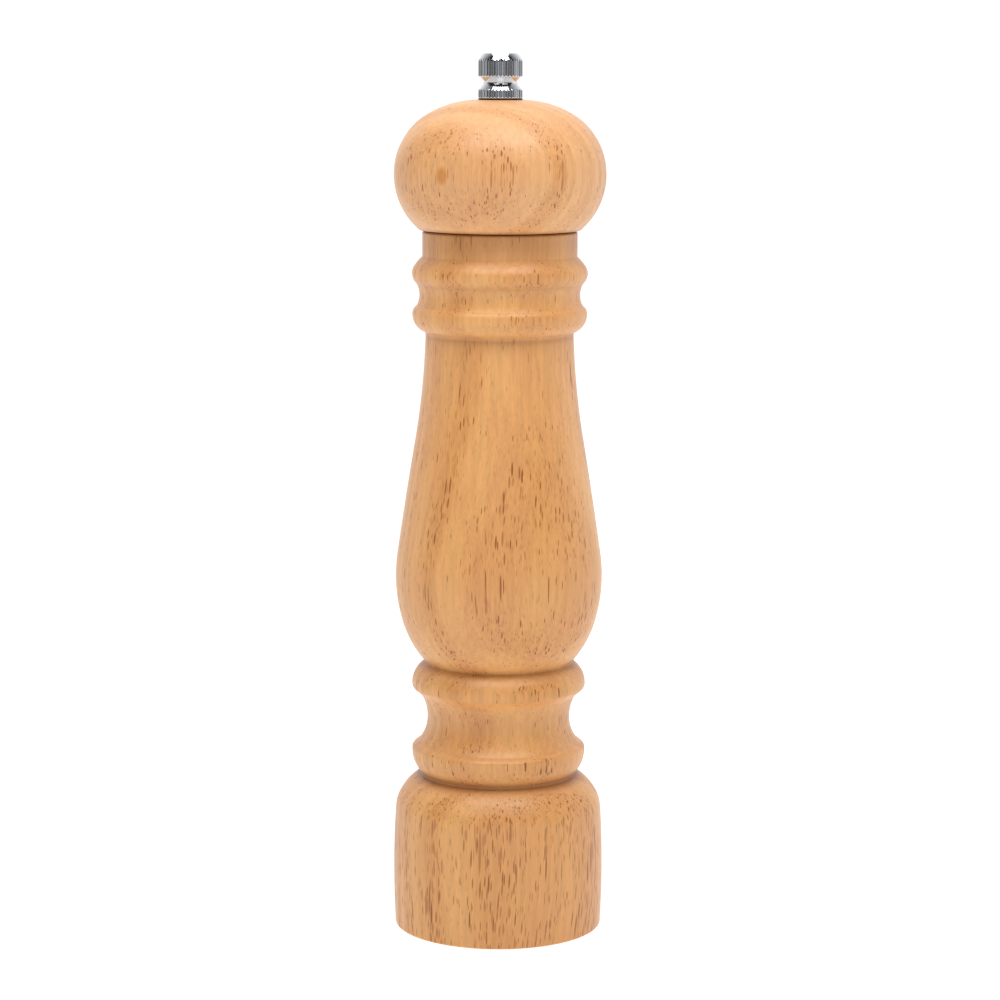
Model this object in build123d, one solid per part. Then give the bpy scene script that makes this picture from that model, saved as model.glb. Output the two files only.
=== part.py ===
from build123d import *
from dataclasses import dataclass
from math import atan, cos, hypot, radians, sin, sqrt, tan
import os

# Pepper mill: a turned wooden body with a steel burr mill in its foot, and a turned wooden head
# that drives the mill through a square spindle and is held down by a knurled top nut.
# Sizes are in millimetres. The origin is the centre of the foot's underside, +Z runs up the spindle.

os.makedirs("parts", exist_ok=True)


@dataclass(frozen=True)
class Screw:
    """A cross-slotted pan-head wood screw; length is below the head."""

    shank_radius: float
    head_radius: float
    head_height: float
    length: float


# ---- Driving dimensions -------------------------------------------------------------------------

# Outside of the turned body
foot_radius = 30.2
foot_height = 34.0
foot_edge = 0.5
shoulder_height = 10.3
bead_radius = 25.2
bead_notch_radius = 22.8
lower_cove_radius = 20.75
lower_cove_height = 14.15
barrel_radius = 29.95
barrel_length = 95.6
barrel_waist_radius = 21.3
upper_cove_radius = 23.95
neck_radius = 22.25
neck_height = 6.8
neck_edge = 0.4

# Inside of the body
recess_depth = 6.0
recess_clearance = 0.3
hopper_radius = 13.5
hopper_edge = 0.8

# Turned head
head_radius = 30.36
head_foot_radius = 23.1
head_equator_height = 15.7
head_shoulder_height = 16.4
head_shoulder_inset = 8.4
head_crown_height = 4.75
head_reveal = 0.4
head_land_overhang = 0.7
head_seat_radius = 20.6
head_seat_gap = 0.05
head_bore_clearance = 0.7
tenon_clearance = 0.3
tenon_length = 12.0

# Ring burr in the foot
stator_radius = 17.45
stator_height = 20.0
stator_fit = 0.05
stator_mouth_radius = 15.0
stator_mouth_height = 4.0
stator_mouth_round = 0.3
stator_throat_radius = 12.5
burr_cone_height = 6.0
burr_cone_angle = 18.4
ring_tooth_count = 24
ring_tooth_width = 1.1
key_count = 3
key_width = 2.4
key_height = 0.8
key_root = 0.5

# Cone burr on the spindle
burr_gap = 0.28
rotor_drop = 1.0
rotor_top_radius = 6.6
rotor_crown_height = 5.5
rotor_crown_hollow = 0.4
rotor_recess_depth = 2.0
rotor_recess_clearance = 0.4
fine_tooth_count = 30
fine_tooth_width = 0.8
coarse_tooth_count = 6
coarse_tooth_width = 2.6
tooth_twist = 14.0

# Bridge, spring and washers
bridge_thickness = 1.5
bridge_rim = 3.4
bridge_spoke_width = 3.0
bridge_hub_radius = 6.8
spring_washer_thickness = 0.8
spring_washer_margin = 0.1
spring_radius = 5.6
spring_wire_radius = 0.5
spring_turns = 4
spring_end_gap = 0.05
rotor_washer_radius = 4.8
rotor_washer_thickness = 0.8

# Square spindle, its threaded tip and its clip
spindle_size = 5.0
spindle_corner = 0.8
spindle_fit = 0.1
stub_wall = 0.1
stub_length = 2.4
clip_thickness = 0.6
clip_radius = 3.9
clip_groove_depth = 0.55
clip_mouth = 3.0
clip_fit = 0.05
thread_pitch = 0.8
thread_depth = 0.4
thread_groove_share = 0.35
thread_length = 24.0
thread_fit = 0.05
spindle_above_head = 8.9

# Plate that turns the spindle, screwed under the head's tenon
drive_plate_thickness = 1.5
drive_plate_margin = 1.7
drive_screw_circle_radius = 7.6

# Flange that holds the ring burr in the foot
flange_thickness = 1.2
flange_inner_clearance = 0.45
flange_ring_width = 3.7
flange_lug_radius = 3.0
flange_screw_offset = 2.75

# Screws
flange_screw = Screw(shank_radius=1.4, head_radius=2.7, head_height=1.6, length=11.0)
flange_screw_count = 3
drive_screw = Screw(shank_radius=1.2, head_radius=2.2, head_height=1.3, length=9.0)
drive_screw_count = 2
screw_hole_clearance = 0.2
pilot_clearance = 0.01
screw_slot_width = 0.6
screw_slot_depth = 0.8
screw_flat_share = 0.55
screw_side_share = 0.35
screw_slot_share = 0.95

# Knurled top nut and the washer under it
nut_radius = 6.35
nut_waist_radius = 4.85
nut_height = 13.05
nut_edge = 0.25
nut_lower_band = 2.3
nut_lower_taper = 1.9
nut_waist_height = 0.6
nut_upper_taper = 1.5
nut_upper_band = 4.2
nut_crown_radius = 4.9
nut_crown_flat = 1.5
nut_crown_rise = 0.3
nut_bore_depth = 10.8
nut_bore_point = 1.0
nut_flute_count = 36
nut_flute_width = 0.5
nut_lobe_count = 4
nut_lobe_depth = 0.5
nut_washer_thickness = 0.35
nut_washer_clearance = 0.3

# How far a cutting shape runs past what it cuts
overrun = 1.0

# ---- Turned outlines ----------------------------------------------------------------------------


def upright_bulge(radius_change, rise):
    """Bulge of an arc of that rise which stands upright at its widest point."""
    return hypot(radius_change, rise) / 2 * tan(atan(abs(radius_change) / rise) / 2)


def climb(start_z, steps):
    """Stations (radius, z, bulge) from steps (radius, rise from the last station, bulge)."""
    stations = []
    z = start_z
    for radius, rise, bulge in steps:
        z += rise
        stations.append((radius, z, bulge))
    return stations


def turned(stations):
    """Solid turned about Z from a closed outline. A station is (radius, z) or (radius, z, bulge):
    bulge is how far the stretch up to it stands out from straight, and is negative for a hollow."""
    edges = []
    last = stations[-1]
    for station in stations:
        start = last[:2]
        end = station[:2]
        bulge = station[2] if len(station) > 2 else 0
        edges.append(SagittaArc(start, end, -bulge) if bulge else Line(start, end))
        last = station
    return revolve(Plane.XZ * make_face(edges), Axis.Z)


# From the foot's underside to the neck: radius, rise, bulge
body_steps = [
    (foot_radius - foot_edge, 0.0, 0),
    (foot_radius, 0.8, 0.19),
    (foot_radius - 0.1, foot_height, 0.5),
    (foot_radius - 2.0, 0.53 * shoulder_height, 0.42),
    (bead_notch_radius - 0.2, 0.47 * shoulder_height, 0.6),
    (bead_notch_radius, 0.8, 0),
    (bead_radius, 7.25, 0.8),
    (bead_radius - 1.65, 1.3, 0.15),
    (lower_cove_radius, 0.52 * lower_cove_height, -0.7),
    (lower_cove_radius + 1.7, 0.48 * lower_cove_height, -0.45),
    (bead_radius - 0.75, 1.8, 0),
    (bead_radius, 1.2, 0.18),
    (bead_notch_radius - 1.1, 6.5, 1.1),
    (bead_notch_radius - 1.45, 0.4, 0),
    (barrel_radius - 1.43, 0.143 * barrel_length, 0.98),
    (barrel_radius, 0.132 * barrel_length, 0.44),
    (barrel_radius - 0.55, 0.064 * barrel_length, 0.09),
    (barrel_radius - 5.65, 0.340 * barrel_length, 0.09),
    (barrel_waist_radius, 0.317 * barrel_length, -0.53),
    (barrel_waist_radius + 0.15, 0.9, 0),
    (bead_radius - 0.1, 5.45, 1.12),
    (upper_cove_radius, 1.95, 0.3),
    (upper_cove_radius, 6.55, -0.88),
    (bead_radius - 0.75, 5.15, 1.0),
    (neck_radius, 2.5, 0.1),
    (neck_radius, neck_height, 0),
    (neck_radius - neck_edge, neck_edge, 0),
]
body_outline = climb(0, body_steps)
body_height = body_outline[-1][1]

head_foot_z = body_height + head_reveal
nut_washer_radius = nut_radius
head_land_radius = nut_washer_radius + head_land_overhang
head_shoulder_radius = head_radius - head_shoulder_inset
lower_round = upright_bulge(head_radius - head_foot_radius, head_equator_height)
upper_round = upright_bulge(head_radius - head_shoulder_radius, head_shoulder_height)
head_steps = [
    (head_foot_radius, 0, 0),
    (head_radius, head_equator_height, lower_round),
    (head_shoulder_radius, head_shoulder_height, upper_round),
    (head_land_radius, head_crown_height, 1.07),
]
head_outline = climb(head_foot_z, head_steps)
head_top_z = head_outline[-1][1]

# ---- Heights of the mill's parts and the radii that follow from them ------------------------------

stator_z = recess_depth
stator_top_z = stator_z + stator_height
bridge_top_z = stator_top_z + bridge_thickness
burr_cone_top_z = stator_z + burr_cone_height
cone_slope = tan(radians(burr_cone_angle))

rotor_z = stator_z - rotor_drop
rotor_top_z = burr_cone_top_z + rotor_crown_height
rotor_throat_radius = stator_throat_radius - burr_gap
rotor_foot_radius = rotor_throat_radius + (burr_cone_top_z - rotor_z) * cone_slope
rotor_bearing_z = rotor_z + rotor_recess_depth
spring_washer_top_z = rotor_top_z + spring_washer_thickness

spindle_corner_radius = spindle_size / sqrt(2) - spindle_corner * (sqrt(2) - 1)
stub_radius = spindle_size / 2 - stub_wall
thread_radius = spindle_size / 2
spindle_top_z = head_top_z + spindle_above_head
bore_past_spindle = spindle_corner_radius + head_bore_clearance
clip_top_z = rotor_bearing_z - rotor_washer_thickness - clip_fit
clip_z = clip_top_z - clip_thickness

tenon_radius = hopper_radius - tenon_clearance
tenon_z = body_height - tenon_length
drive_plate_radius = tenon_radius - drive_plate_margin
drive_plate_z = tenon_z - drive_plate_thickness

flange_z = recess_depth - flange_thickness
flange_inner_radius = rotor_foot_radius + flange_inner_clearance
flange_screw_radius = stator_radius + key_height + flange_screw_offset
recess_radius = flange_screw_radius + flange_lug_radius + recess_clearance

nut_washer_z = head_top_z
nut_z = nut_washer_z + nut_washer_thickness
nut_top_z = nut_z + nut_height

# ---- Shapes that more than one part uses -----------------------------------------------------------


def around(count, shape, start=0.0):
    """The shape repeated evenly about Z."""
    return [Rot(0, 0, start + 360 / count * step) * shape for step in range(count)]


def disc(radius, thickness, z):
    """A plain round plate standing on z."""
    return Pos(0, 0, z) * Cylinder(radius, thickness, align=(Align.CENTER, Align.CENTER, Align.MIN))


def washer(radius, hole_radius, thickness, z):
    """A disc with a round hole, lying on z."""
    return disc(radius, thickness, z) - disc(hole_radius, thickness, z)


def square_bar(size, corner, z, top_z):
    """A square bar about Z with rounded corners; corner 0 leaves them sharp."""
    section = RectangleRounded(size, size, corner) if corner else Rectangle(size, size)
    return extrude(Pos(0, 0, z) * section, top_z - z)


def groove_bar(width, low, high, twist):
    """A square bar on its edge, centred on the line from low to high, which are (radius, z).
    The high end is turned about Z by twist degrees. It cuts one V-shaped groove."""
    start = Vector(low[0], 0, low[1])
    end = Vector(high[0] * cos(radians(twist)), high[0] * sin(radians(twist)), high[1])
    run = end - start
    direction = run.normalized()
    behind = Plane(start - direction * width, x_dir=(0, 1, 0), z_dir=run)
    section = behind * Rot(0, 0, 45) * Rectangle(width, width)
    return extrude(section, run.length + 2 * width, dir=direction)


def keys(width, reach, z, top_z):
    """Keys that stop the ring burr and the bridge turning in the foot."""
    key = Box(reach, width, top_z - z, align=(Align.MIN, Align.CENTER, Align.MIN))
    return around(key_count, Pos(0, 0, z) * key, start=60)


def pan_screws(screw, count, circle_radius, under_head_z):
    """Screws with their heads down and their points up, evenly about Z."""
    top_z = under_head_z - screw.head_height
    side_z = under_head_z - screw.head_height * screw_side_share
    point_z = under_head_z + screw.length - 2 * screw.shank_radius
    outline = [
        (0, top_z),
        (screw.head_radius * screw_flat_share, top_z),
        (screw.head_radius, side_z, screw.head_height * 0.15),
        (screw.head_radius, under_head_z),
        (screw.shank_radius, under_head_z),
        (screw.shank_radius, point_z),
        (0, under_head_z + screw.length),
    ]
    slot = Box(screw.head_radius * screw_slot_share, screw_slot_width, 2 * screw_slot_depth)
    slots = [Pos(0, 0, top_z) * Rot(0, 0, turn) * slot for turn in (0, 90)]
    one = turned(outline) - slots
    return around(count, Pos(circle_radius, 0, 0) * one)


def pilot_holes(screw, count, circle_radius, under_head_z):
    """Holes in the wood that the same screws cut for themselves."""
    hole = disc(screw.shank_radius + pilot_clearance, screw.length, under_head_z)
    return around(count, Pos(circle_radius, 0, 0) * hole)


# ---- Wooden body ----------------------------------------------------------------------------------

seat_radius = stator_radius + stator_fit
wooden_body = turned(body_outline + [
    (hopper_radius + hopper_edge, body_height),
    (hopper_radius, body_height - hopper_edge),
    (hopper_radius, bridge_top_z),
    (seat_radius, bridge_top_z),
    (seat_radius, recess_depth),
    (recess_radius, recess_depth),
    (recess_radius, 0),
])
wooden_body -= keys(key_width + 2 * stator_fit, seat_radius + key_height, recess_depth, bridge_top_z)
wooden_body -= pilot_holes(flange_screw, flange_screw_count, flange_screw_radius, flange_z)

# ---- Ring burr ------------------------------------------------------------------------------------

stator_foot_radius = stator_throat_radius + burr_cone_height * cone_slope
stator_mouth_z = stator_top_z - stator_mouth_height
ring_throat = (stator_throat_radius, burr_cone_top_z)
ring_tooth = groove_bar(ring_tooth_width, (stator_foot_radius, stator_z), ring_throat, -tooth_twist)
stator_blank = turned([
    (stator_radius, stator_z),
    (stator_radius, stator_top_z),
    (stator_mouth_radius, stator_top_z),
    (stator_throat_radius, stator_mouth_z, stator_mouth_round),
    (stator_throat_radius, burr_cone_top_z),
    (stator_foot_radius, stator_z),
])
stator_keys = keys(key_width, stator_radius + key_height, stator_z, stator_top_z)
key_core = disc(stator_radius - key_root, stator_height, stator_z)
stator_ring = stator_blank + [key - key_core for key in stator_keys]
stator_ring -= around(ring_tooth_count, ring_tooth)

# ---- Bridge above the burrs -------------------------------------------------------------------------

bridge_rim_radius = stator_radius - bridge_rim
bridge_plate = disc(stator_radius, bridge_thickness, stator_top_z)
bridge_plate += keys(key_width, stator_radius + key_height, stator_top_z, bridge_top_z)
bridge_hub = disc(bridge_hub_radius, bridge_thickness, stator_top_z)
spoke = Pos(0, 0, stator_top_z) * Box(
    stator_radius, bridge_spoke_width, bridge_thickness, align=(Align.MIN, Align.CENTER, Align.MIN)
)
bridge_windows = disc(bridge_rim_radius, bridge_thickness, stator_top_z) - bridge_hub
bridge_windows -= around(key_count, spoke, start=60)
bridge_bore = disc(bore_past_spindle, bridge_thickness, stator_top_z)
spindle_bridge = bridge_plate - bridge_windows - bridge_bore

# ---- Retaining flange and its screws ----------------------------------------------------------------

flange_ring = disc(flange_inner_radius + flange_ring_width, flange_thickness, flange_z)
lug = Pos(flange_screw_radius, 0, 0) * disc(flange_lug_radius, flange_thickness, flange_z)
lug_neck = Pos(0, 0, flange_z) * Box(
    flange_screw_radius, 2 * flange_lug_radius, flange_thickness, align=(Align.MIN, Align.CENTER, Align.MIN)
)
flange_hole = disc(flange_screw.shank_radius + screw_hole_clearance, flange_thickness, flange_z)
retaining_flange = (
    flange_ring + around(flange_screw_count, lug) + around(flange_screw_count, lug_neck)
    - disc(flange_inner_radius, flange_thickness, flange_z)
    - around(flange_screw_count, Pos(flange_screw_radius, 0, 0) * flange_hole)
)
flange_screws = pan_screws(flange_screw, flange_screw_count, flange_screw_radius, flange_z)

# ---- Cone burr --------------------------------------------------------------------------------------

rotor_blank = turned([
    (0, rotor_z),
    (rotor_foot_radius, rotor_z),
    (rotor_throat_radius, burr_cone_top_z),
    (rotor_top_radius, rotor_top_z, -rotor_crown_hollow),
    (0, rotor_top_z),
])
rotor_throat = (rotor_throat_radius, burr_cone_top_z)
rotor_crown = (rotor_top_radius, rotor_top_z)
fine_tooth = groove_bar(fine_tooth_width, (rotor_foot_radius, rotor_z), rotor_throat, tooth_twist)
coarse_tooth = groove_bar(coarse_tooth_width, rotor_throat, rotor_crown, 2 * tooth_twist)
rotor_recess_radius = rotor_washer_radius + rotor_recess_clearance
rotor = (
    rotor_blank
    - around(fine_tooth_count, fine_tooth)
    - around(coarse_tooth_count, coarse_tooth)
    - disc(rotor_recess_radius, rotor_recess_depth, rotor_z)
    - square_bar(spindle_size + spindle_fit, 0, rotor_z, rotor_top_z)
)

# ---- Spindle ----------------------------------------------------------------------------------------

stub_end_z = rotor_bearing_z - stub_length
groove_radius = stub_radius - clip_groove_depth
thread_z = spindle_top_z - thread_length
spindle_stub = disc(stub_radius, stub_length, stub_end_z)
clip_groove = disc(stub_radius + overrun, clip_thickness + 2 * clip_fit, clip_z - clip_fit)
clip_groove -= disc(groove_radius, stub_length, stub_end_z)
thread_rod = disc(thread_radius, thread_length, thread_z)
thread_groove = turned([
    (thread_radius + thread_fit, -thread_groove_share * thread_pitch),
    (thread_radius + thread_fit, thread_groove_share * thread_pitch),
    (thread_radius - thread_depth, 0),
])
thread_turns = int((thread_length - 2 * thread_pitch) / thread_pitch)
groove_heights = [spindle_top_z - thread_pitch * (turn + 1) for turn in range(thread_turns)]
square_spindle = (
    square_bar(spindle_size, spindle_corner, rotor_bearing_z, thread_z)
    + (spindle_stub - clip_groove)
    + (thread_rod - [Pos(0, 0, height) * thread_groove for height in groove_heights])
)

# ---- Washers, clip and spring -----------------------------------------------------------------------

spring_washer_radius = spring_radius + spring_wire_radius + spring_washer_margin
spring_washer_hole = spindle_corner_radius + spindle_fit
spring_washer = washer(spring_washer_radius, spring_washer_hole, spring_washer_thickness, rotor_top_z)
rotor_washer_z = rotor_bearing_z - rotor_washer_thickness
rotor_washer_hole = stub_radius + spindle_fit
rotor_washer = washer(rotor_washer_radius, rotor_washer_hole, rotor_washer_thickness, rotor_washer_z)
clip_slot = Pos(0, 0, clip_z) * Box(
    clip_radius + overrun, clip_mouth, clip_thickness, align=(Align.MIN, Align.CENTER, Align.MIN)
)
retaining_clip = washer(clip_radius, groove_radius + clip_fit, clip_thickness, clip_z) - clip_slot

spring_foot_z = spring_washer_top_z + spring_wire_radius + spring_end_gap
spring_rise = stator_top_z - spring_wire_radius - spring_end_gap - spring_foot_z
coil_pitch = spring_rise / spring_turns
coil = Helix(pitch=coil_pitch, height=spring_rise, radius=spring_radius, center=(0, 0, spring_foot_z))
wire = Plane(coil @ 0, z_dir=coil % 0) * Circle(spring_wire_radius)
grind_spring = sweep(wire, path=coil, is_frenet=True)

# ---- Wooden head --------------------------------------------------------------------------------------

seat_z = body_height + head_seat_gap
wooden_head = turned(head_outline + [
    (bore_past_spindle, head_top_z),
    (bore_past_spindle, tenon_z),
    (tenon_radius - hopper_edge, tenon_z),
    (tenon_radius, tenon_z + hopper_edge),
    (tenon_radius, seat_z),
    (head_seat_radius, seat_z),
    (head_seat_radius, head_foot_z),
])
wooden_head -= pilot_holes(drive_screw, drive_screw_count, drive_screw_circle_radius, drive_plate_z)

# ---- Drive plate and its screws ---------------------------------------------------------------------

drive_hole = disc(drive_screw.shank_radius + screw_hole_clearance, drive_plate_thickness, drive_plate_z)
drive_plate = (
    disc(drive_plate_radius, drive_plate_thickness, drive_plate_z)
    - square_bar(spindle_size + 2 * spindle_fit, 0, drive_plate_z, tenon_z)
    - around(drive_screw_count, Pos(drive_screw_circle_radius, 0, 0) * drive_hole)
)
drive_plate_screws = pan_screws(
    drive_screw, drive_screw_count, drive_screw_circle_radius, drive_plate_z
)

# ---- Top nut and its washer --------------------------------------------------------------------------

nut_washer_hole = thread_radius + nut_washer_clearance
nut_washer = washer(nut_washer_radius, nut_washer_hole, nut_washer_thickness, nut_washer_z)
nut_outline = climb(nut_z, [
    (nut_radius - nut_edge, 0, 0),
    (nut_radius, nut_edge, 0),
    (nut_radius, nut_lower_band - nut_edge, 0),
    (nut_waist_radius, nut_lower_taper, 0),
    (nut_waist_radius, nut_waist_height, 0),
    (nut_radius, nut_upper_taper, 0),
    (nut_radius, nut_upper_band, 0),
])
crown_z = nut_outline[-1][1]
nut_bore_radius = thread_radius + thread_fit
nut_blank = turned(nut_outline + [
    (nut_crown_radius, nut_top_z - nut_crown_rise, 0.15),
    (nut_crown_flat, nut_top_z),
    (0, nut_top_z),
    (0, nut_z + nut_bore_depth),
    (nut_bore_radius, nut_z + nut_bore_depth - nut_bore_point),
    (nut_bore_radius, nut_z),
])
flute = Pos(nut_radius, 0, nut_z) * Rot(0, 0, 45) * Box(
    nut_flute_width, nut_flute_width, nut_height, align=(Align.CENTER, Align.CENTER, Align.MIN)
)
dip_radius = 2 * nut_lobe_depth + nut_crown_radius / 2
dip_axis_z = nut_top_z + dip_radius - nut_lobe_depth
dip = Pos(nut_radius, 0, dip_axis_z) * Rot(0, 90, 0) * Cylinder(dip_radius, 1.5 * nut_radius)
top_nut = nut_blank - around(nut_flute_count, flute) - around(nut_lobe_count, dip, start=-90)

# ---- One file for each part -----------------------------------------------------------------------------

nodes = {
    "wooden_body": wooden_body,
    "stator_ring": stator_ring,
    "spindle_bridge": spindle_bridge,
    "retaining_flange": retaining_flange,
    "flange_screws": flange_screws,
    "rotor": rotor,
    "rotor_washer": rotor_washer,
    "retaining_clip": retaining_clip,
    "square_spindle": square_spindle,
    "spring_washer": spring_washer,
    "grind_spring": grind_spring,
    "wooden_head": wooden_head,
    "drive_plate": drive_plate,
    "drive_plate_screws": drive_plate_screws,
    "nut_washer": nut_washer,
    "top_nut": top_nut,
}
for name, shape in nodes.items():
    solids = Compound(children=shape) if isinstance(shape, list) else shape
    export_step(solids, f"parts/{name}.step")
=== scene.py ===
"""A turned rubberwood pepper mill: body, head, burr mill, spindle and chromed top nut.

Every length inside the classes is in millimetres and becomes metres when a surface is made.
The origin is the centre of the foot's underside and +Z runs up the spindle.
"""

import logging
import math
from dataclasses import dataclass, field
from enum import Enum
from typing import Any, Sequence

import bpy
import numpy as np
from mathutils import Euler, Matrix, Vector


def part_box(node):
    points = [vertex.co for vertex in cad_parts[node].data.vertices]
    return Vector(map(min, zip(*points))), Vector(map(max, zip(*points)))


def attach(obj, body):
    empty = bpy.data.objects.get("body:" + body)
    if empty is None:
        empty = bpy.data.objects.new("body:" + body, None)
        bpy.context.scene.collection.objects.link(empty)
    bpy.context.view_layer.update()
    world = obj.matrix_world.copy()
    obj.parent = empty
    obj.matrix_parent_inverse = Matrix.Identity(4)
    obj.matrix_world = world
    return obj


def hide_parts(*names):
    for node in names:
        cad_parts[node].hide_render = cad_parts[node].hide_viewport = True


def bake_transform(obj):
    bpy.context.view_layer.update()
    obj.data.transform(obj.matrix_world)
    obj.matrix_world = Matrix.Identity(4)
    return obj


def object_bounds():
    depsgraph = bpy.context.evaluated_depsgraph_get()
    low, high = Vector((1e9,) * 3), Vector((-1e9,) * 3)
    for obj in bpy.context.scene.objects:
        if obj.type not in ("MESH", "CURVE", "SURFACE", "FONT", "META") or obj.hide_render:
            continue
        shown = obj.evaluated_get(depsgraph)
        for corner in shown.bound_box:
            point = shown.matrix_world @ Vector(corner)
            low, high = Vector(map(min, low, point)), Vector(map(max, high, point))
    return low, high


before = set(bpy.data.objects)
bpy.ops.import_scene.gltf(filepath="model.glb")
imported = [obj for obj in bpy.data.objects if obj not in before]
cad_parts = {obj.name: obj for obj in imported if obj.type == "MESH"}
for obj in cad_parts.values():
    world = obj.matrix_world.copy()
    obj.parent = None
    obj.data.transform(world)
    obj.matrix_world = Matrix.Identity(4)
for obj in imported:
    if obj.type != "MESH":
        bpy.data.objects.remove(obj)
CAD_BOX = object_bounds()

log = logging.getLogger("pepper_mill")
MM = 0.001
FULL_TURN = 2 * math.pi
WASHER_SIDES = 96
# Points of a turned corner, the greatest share of a stretch that one takes, and points of a plate's edge
CORNER_POINTS, CORNER_SHARE, EDGE_POINTS = 6, 0.4, 4
# Vertex attribute of painted shade in the grooves, notches, neck and head seam, with the lacquer and polish
# that pool in the grooves
GROOVE_SHADE_ATTRIBUTE = "painted_groove_shade_and_pooling"
# Sockets of Blender's mix node when it mixes colours
MIX_FACTOR, MIX_A, MIX_B, MIX_RESULT = 0, 6, 7, 2

Lengths = np.ndarray | float
Pair = tuple[float, float]
Station = tuple[float, float, float]
Piece = bpy.types.Object
Tree = bpy.types.NodeTree
Socket = bpy.types.NodeSocket


# ---- Shapes ----


def climb(start: float, steps: Sequence[Station]) -> list[Station]:
    """Stacks turned steps on each other.

    Args:
        start: height of the first station, before its own rise.
        steps: (radius, rise from the last station, bulge of the stretch between them).

    Returns:
        Stations (radius, height, bulge).
    """
    heights = start + np.cumsum([rise for _, rise, _ in steps])
    return [(step[0], float(height), step[2]) for step, height in zip(steps, heights)]


def upright_bulge(radius_change: float, rise: float) -> float:
    """Bulge of an arc of that rise which stands upright at its widest point."""
    return math.hypot(radius_change, rise) / 2 * math.tan(math.atan(abs(radius_change) / rise) / 2)


def arc(start: np.ndarray, end: np.ndarray, bulge: float, share: np.ndarray) -> np.ndarray:
    """Points on a circular arc.

    The arc leaves its chord by bulge at its middle, to the right of travel. A point at share t of
    the arc's angle is the centre plus the radius turned by that angle; with no bulge it is on the
    chord.

    Args:
        start: first point, (radius, height).
        end: last point.
        bulge: height of the arc over its chord.
        share: places along the arc, from 0 to 1.

    Returns:
        Array of points, one row for each share.
    """
    chord = end - start
    if abs(bulge) < 1e-6:
        return start + chord * share[:, None]
    length = float(np.hypot(*chord))
    radius = (length * length / 4 + bulge * bulge) / (2 * bulge)
    right = np.array([chord[1], -chord[0]]) / length
    centre = (start + end) / 2 + right * (bulge - radius)
    spoke = start - centre
    angle = 4 * math.atan(2 * bulge / length) * share
    turned_x = spoke[0] * np.cos(angle) - spoke[1] * np.sin(angle)
    turned_y = spoke[0] * np.sin(angle) + spoke[1] * np.cos(angle)
    return centre + np.stack([turned_x, turned_y], axis=1)


def turned_outline(
    stations: Sequence[Station], spacing: float, corner: float, closed: bool = True
) -> np.ndarray:
    """Runs a smooth section through turned stations.

    Each stretch is an arc cut back by the corner size at both ends, and each corner is a quadratic
    curve from one cut end to the next with the station as its control point, so that no edge is
    knife-sharp.

    Args:
        stations: (radius, height, bulge of the stretch up to the station).
        spacing: greatest distance between points on a stretch.
        corner: how far back from a station its rounding starts.
        closed: whether the last station is joined to the first.

    Returns:
        Array of (radius, height) points.
    """
    count = len(stations)
    places = [np.array(station[:2], float) for station in stations]
    first = 0 if closed else 1
    stretches = []
    for index in range(first, count):
        start, end = places[index - 1], places[index]
        length = float(np.hypot(*(end - start)))
        cut = min(corner / length, CORNER_SHARE)
        steps = max(2, int(math.ceil(length / spacing)) + 1)
        share = np.linspace(cut, 1 - cut, steps)
        stretches.append(arc(start, end, stations[index][2], share))
    blend = np.linspace(0, 1, CORNER_POINTS)[1:-1, None]
    points = []
    for index, stretch in enumerate(stretches):
        points.append(stretch)
        last = index == len(stretches) - 1
        if last and not closed:
            break
        after = stretches[0] if last else stretches[index + 1]
        control = places[(index + first) % count]
        leave, arrive = stretch[-1], after[0]
        rounding = (1 - blend) ** 2 * leave + 2 * blend * (1 - blend) * control + blend ** 2 * arrive
        points.append(rounding)
    if not closed:
        points = [places[0][None, :]] + points + [places[-1][None, :]]
    return np.concatenate(points)


def around_z(radius: np.ndarray, height: np.ndarray, angle: np.ndarray) -> np.ndarray:
    """Grid of points from radius and height at each (row, column) and the angle of each column."""
    radius, height, angle = np.broadcast_arrays(radius, height, angle)
    return np.stack([radius * np.cos(angle), radius * np.sin(angle), height], axis=-1)


def columns(count: int) -> np.ndarray:
    """Angles of that many columns evenly round the axis, as one row of a grid."""
    return (np.arange(count) * FULL_TURN / count)[None, :]


def shell_faces(grid: np.ndarray, ring: bool) -> tuple[np.ndarray, np.ndarray, np.ndarray]:
    """Closes one grid of points whose columns run round in a loop.

    Neighbouring points make quads. The rows close on each other for a ring; otherwise each end row
    is closed by a fan to its own centre. The faces are turned over if the volume they enclose, the
    sum of each face's corner products, comes out negative.

    Args:
        grid: points shaped (rows, columns, 3).
        ring: whether the last row joins the first.

    Returns:
        Points, quads and fan triangles, the faces as point numbers.
    """
    rows, cols = grid.shape[:2]
    points = grid.reshape(-1, 3)
    index = np.arange(rows * cols).reshape(rows, cols)
    below = index if ring else index[:-1]
    above = np.roll(index, -1, axis=0) if ring else index[1:]
    beside = np.roll(below, -1, axis=1)
    across = np.roll(above, -1, axis=1)
    quads = np.stack([below, beside, across, above], axis=-1).reshape(-1, 4)
    fans = np.zeros((0, 3), int)
    if not ring:
        centres = np.stack([grid[0].mean(axis=0), grid[-1].mean(axis=0)])
        points = np.concatenate([points, centres])
        low = np.stack([np.roll(index[0], -1), index[0], np.full(cols, rows * cols)], axis=1)
        high = np.stack([index[-1], np.roll(index[-1], -1), np.full(cols, rows * cols + 1)], axis=1)
        fans = np.concatenate([low, high])
    triangles = np.concatenate([quads[:, [0, 1, 2]], quads[:, [0, 2, 3]], fans])
    corner = points[triangles]
    volume = np.einsum("ij,ij->", np.cross(corner[:, 0], corner[:, 1]), corner[:, 2])
    if volume < 0:
        quads, fans = quads[:, ::-1], fans[:, ::-1]
    return points, quads, fans


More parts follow.
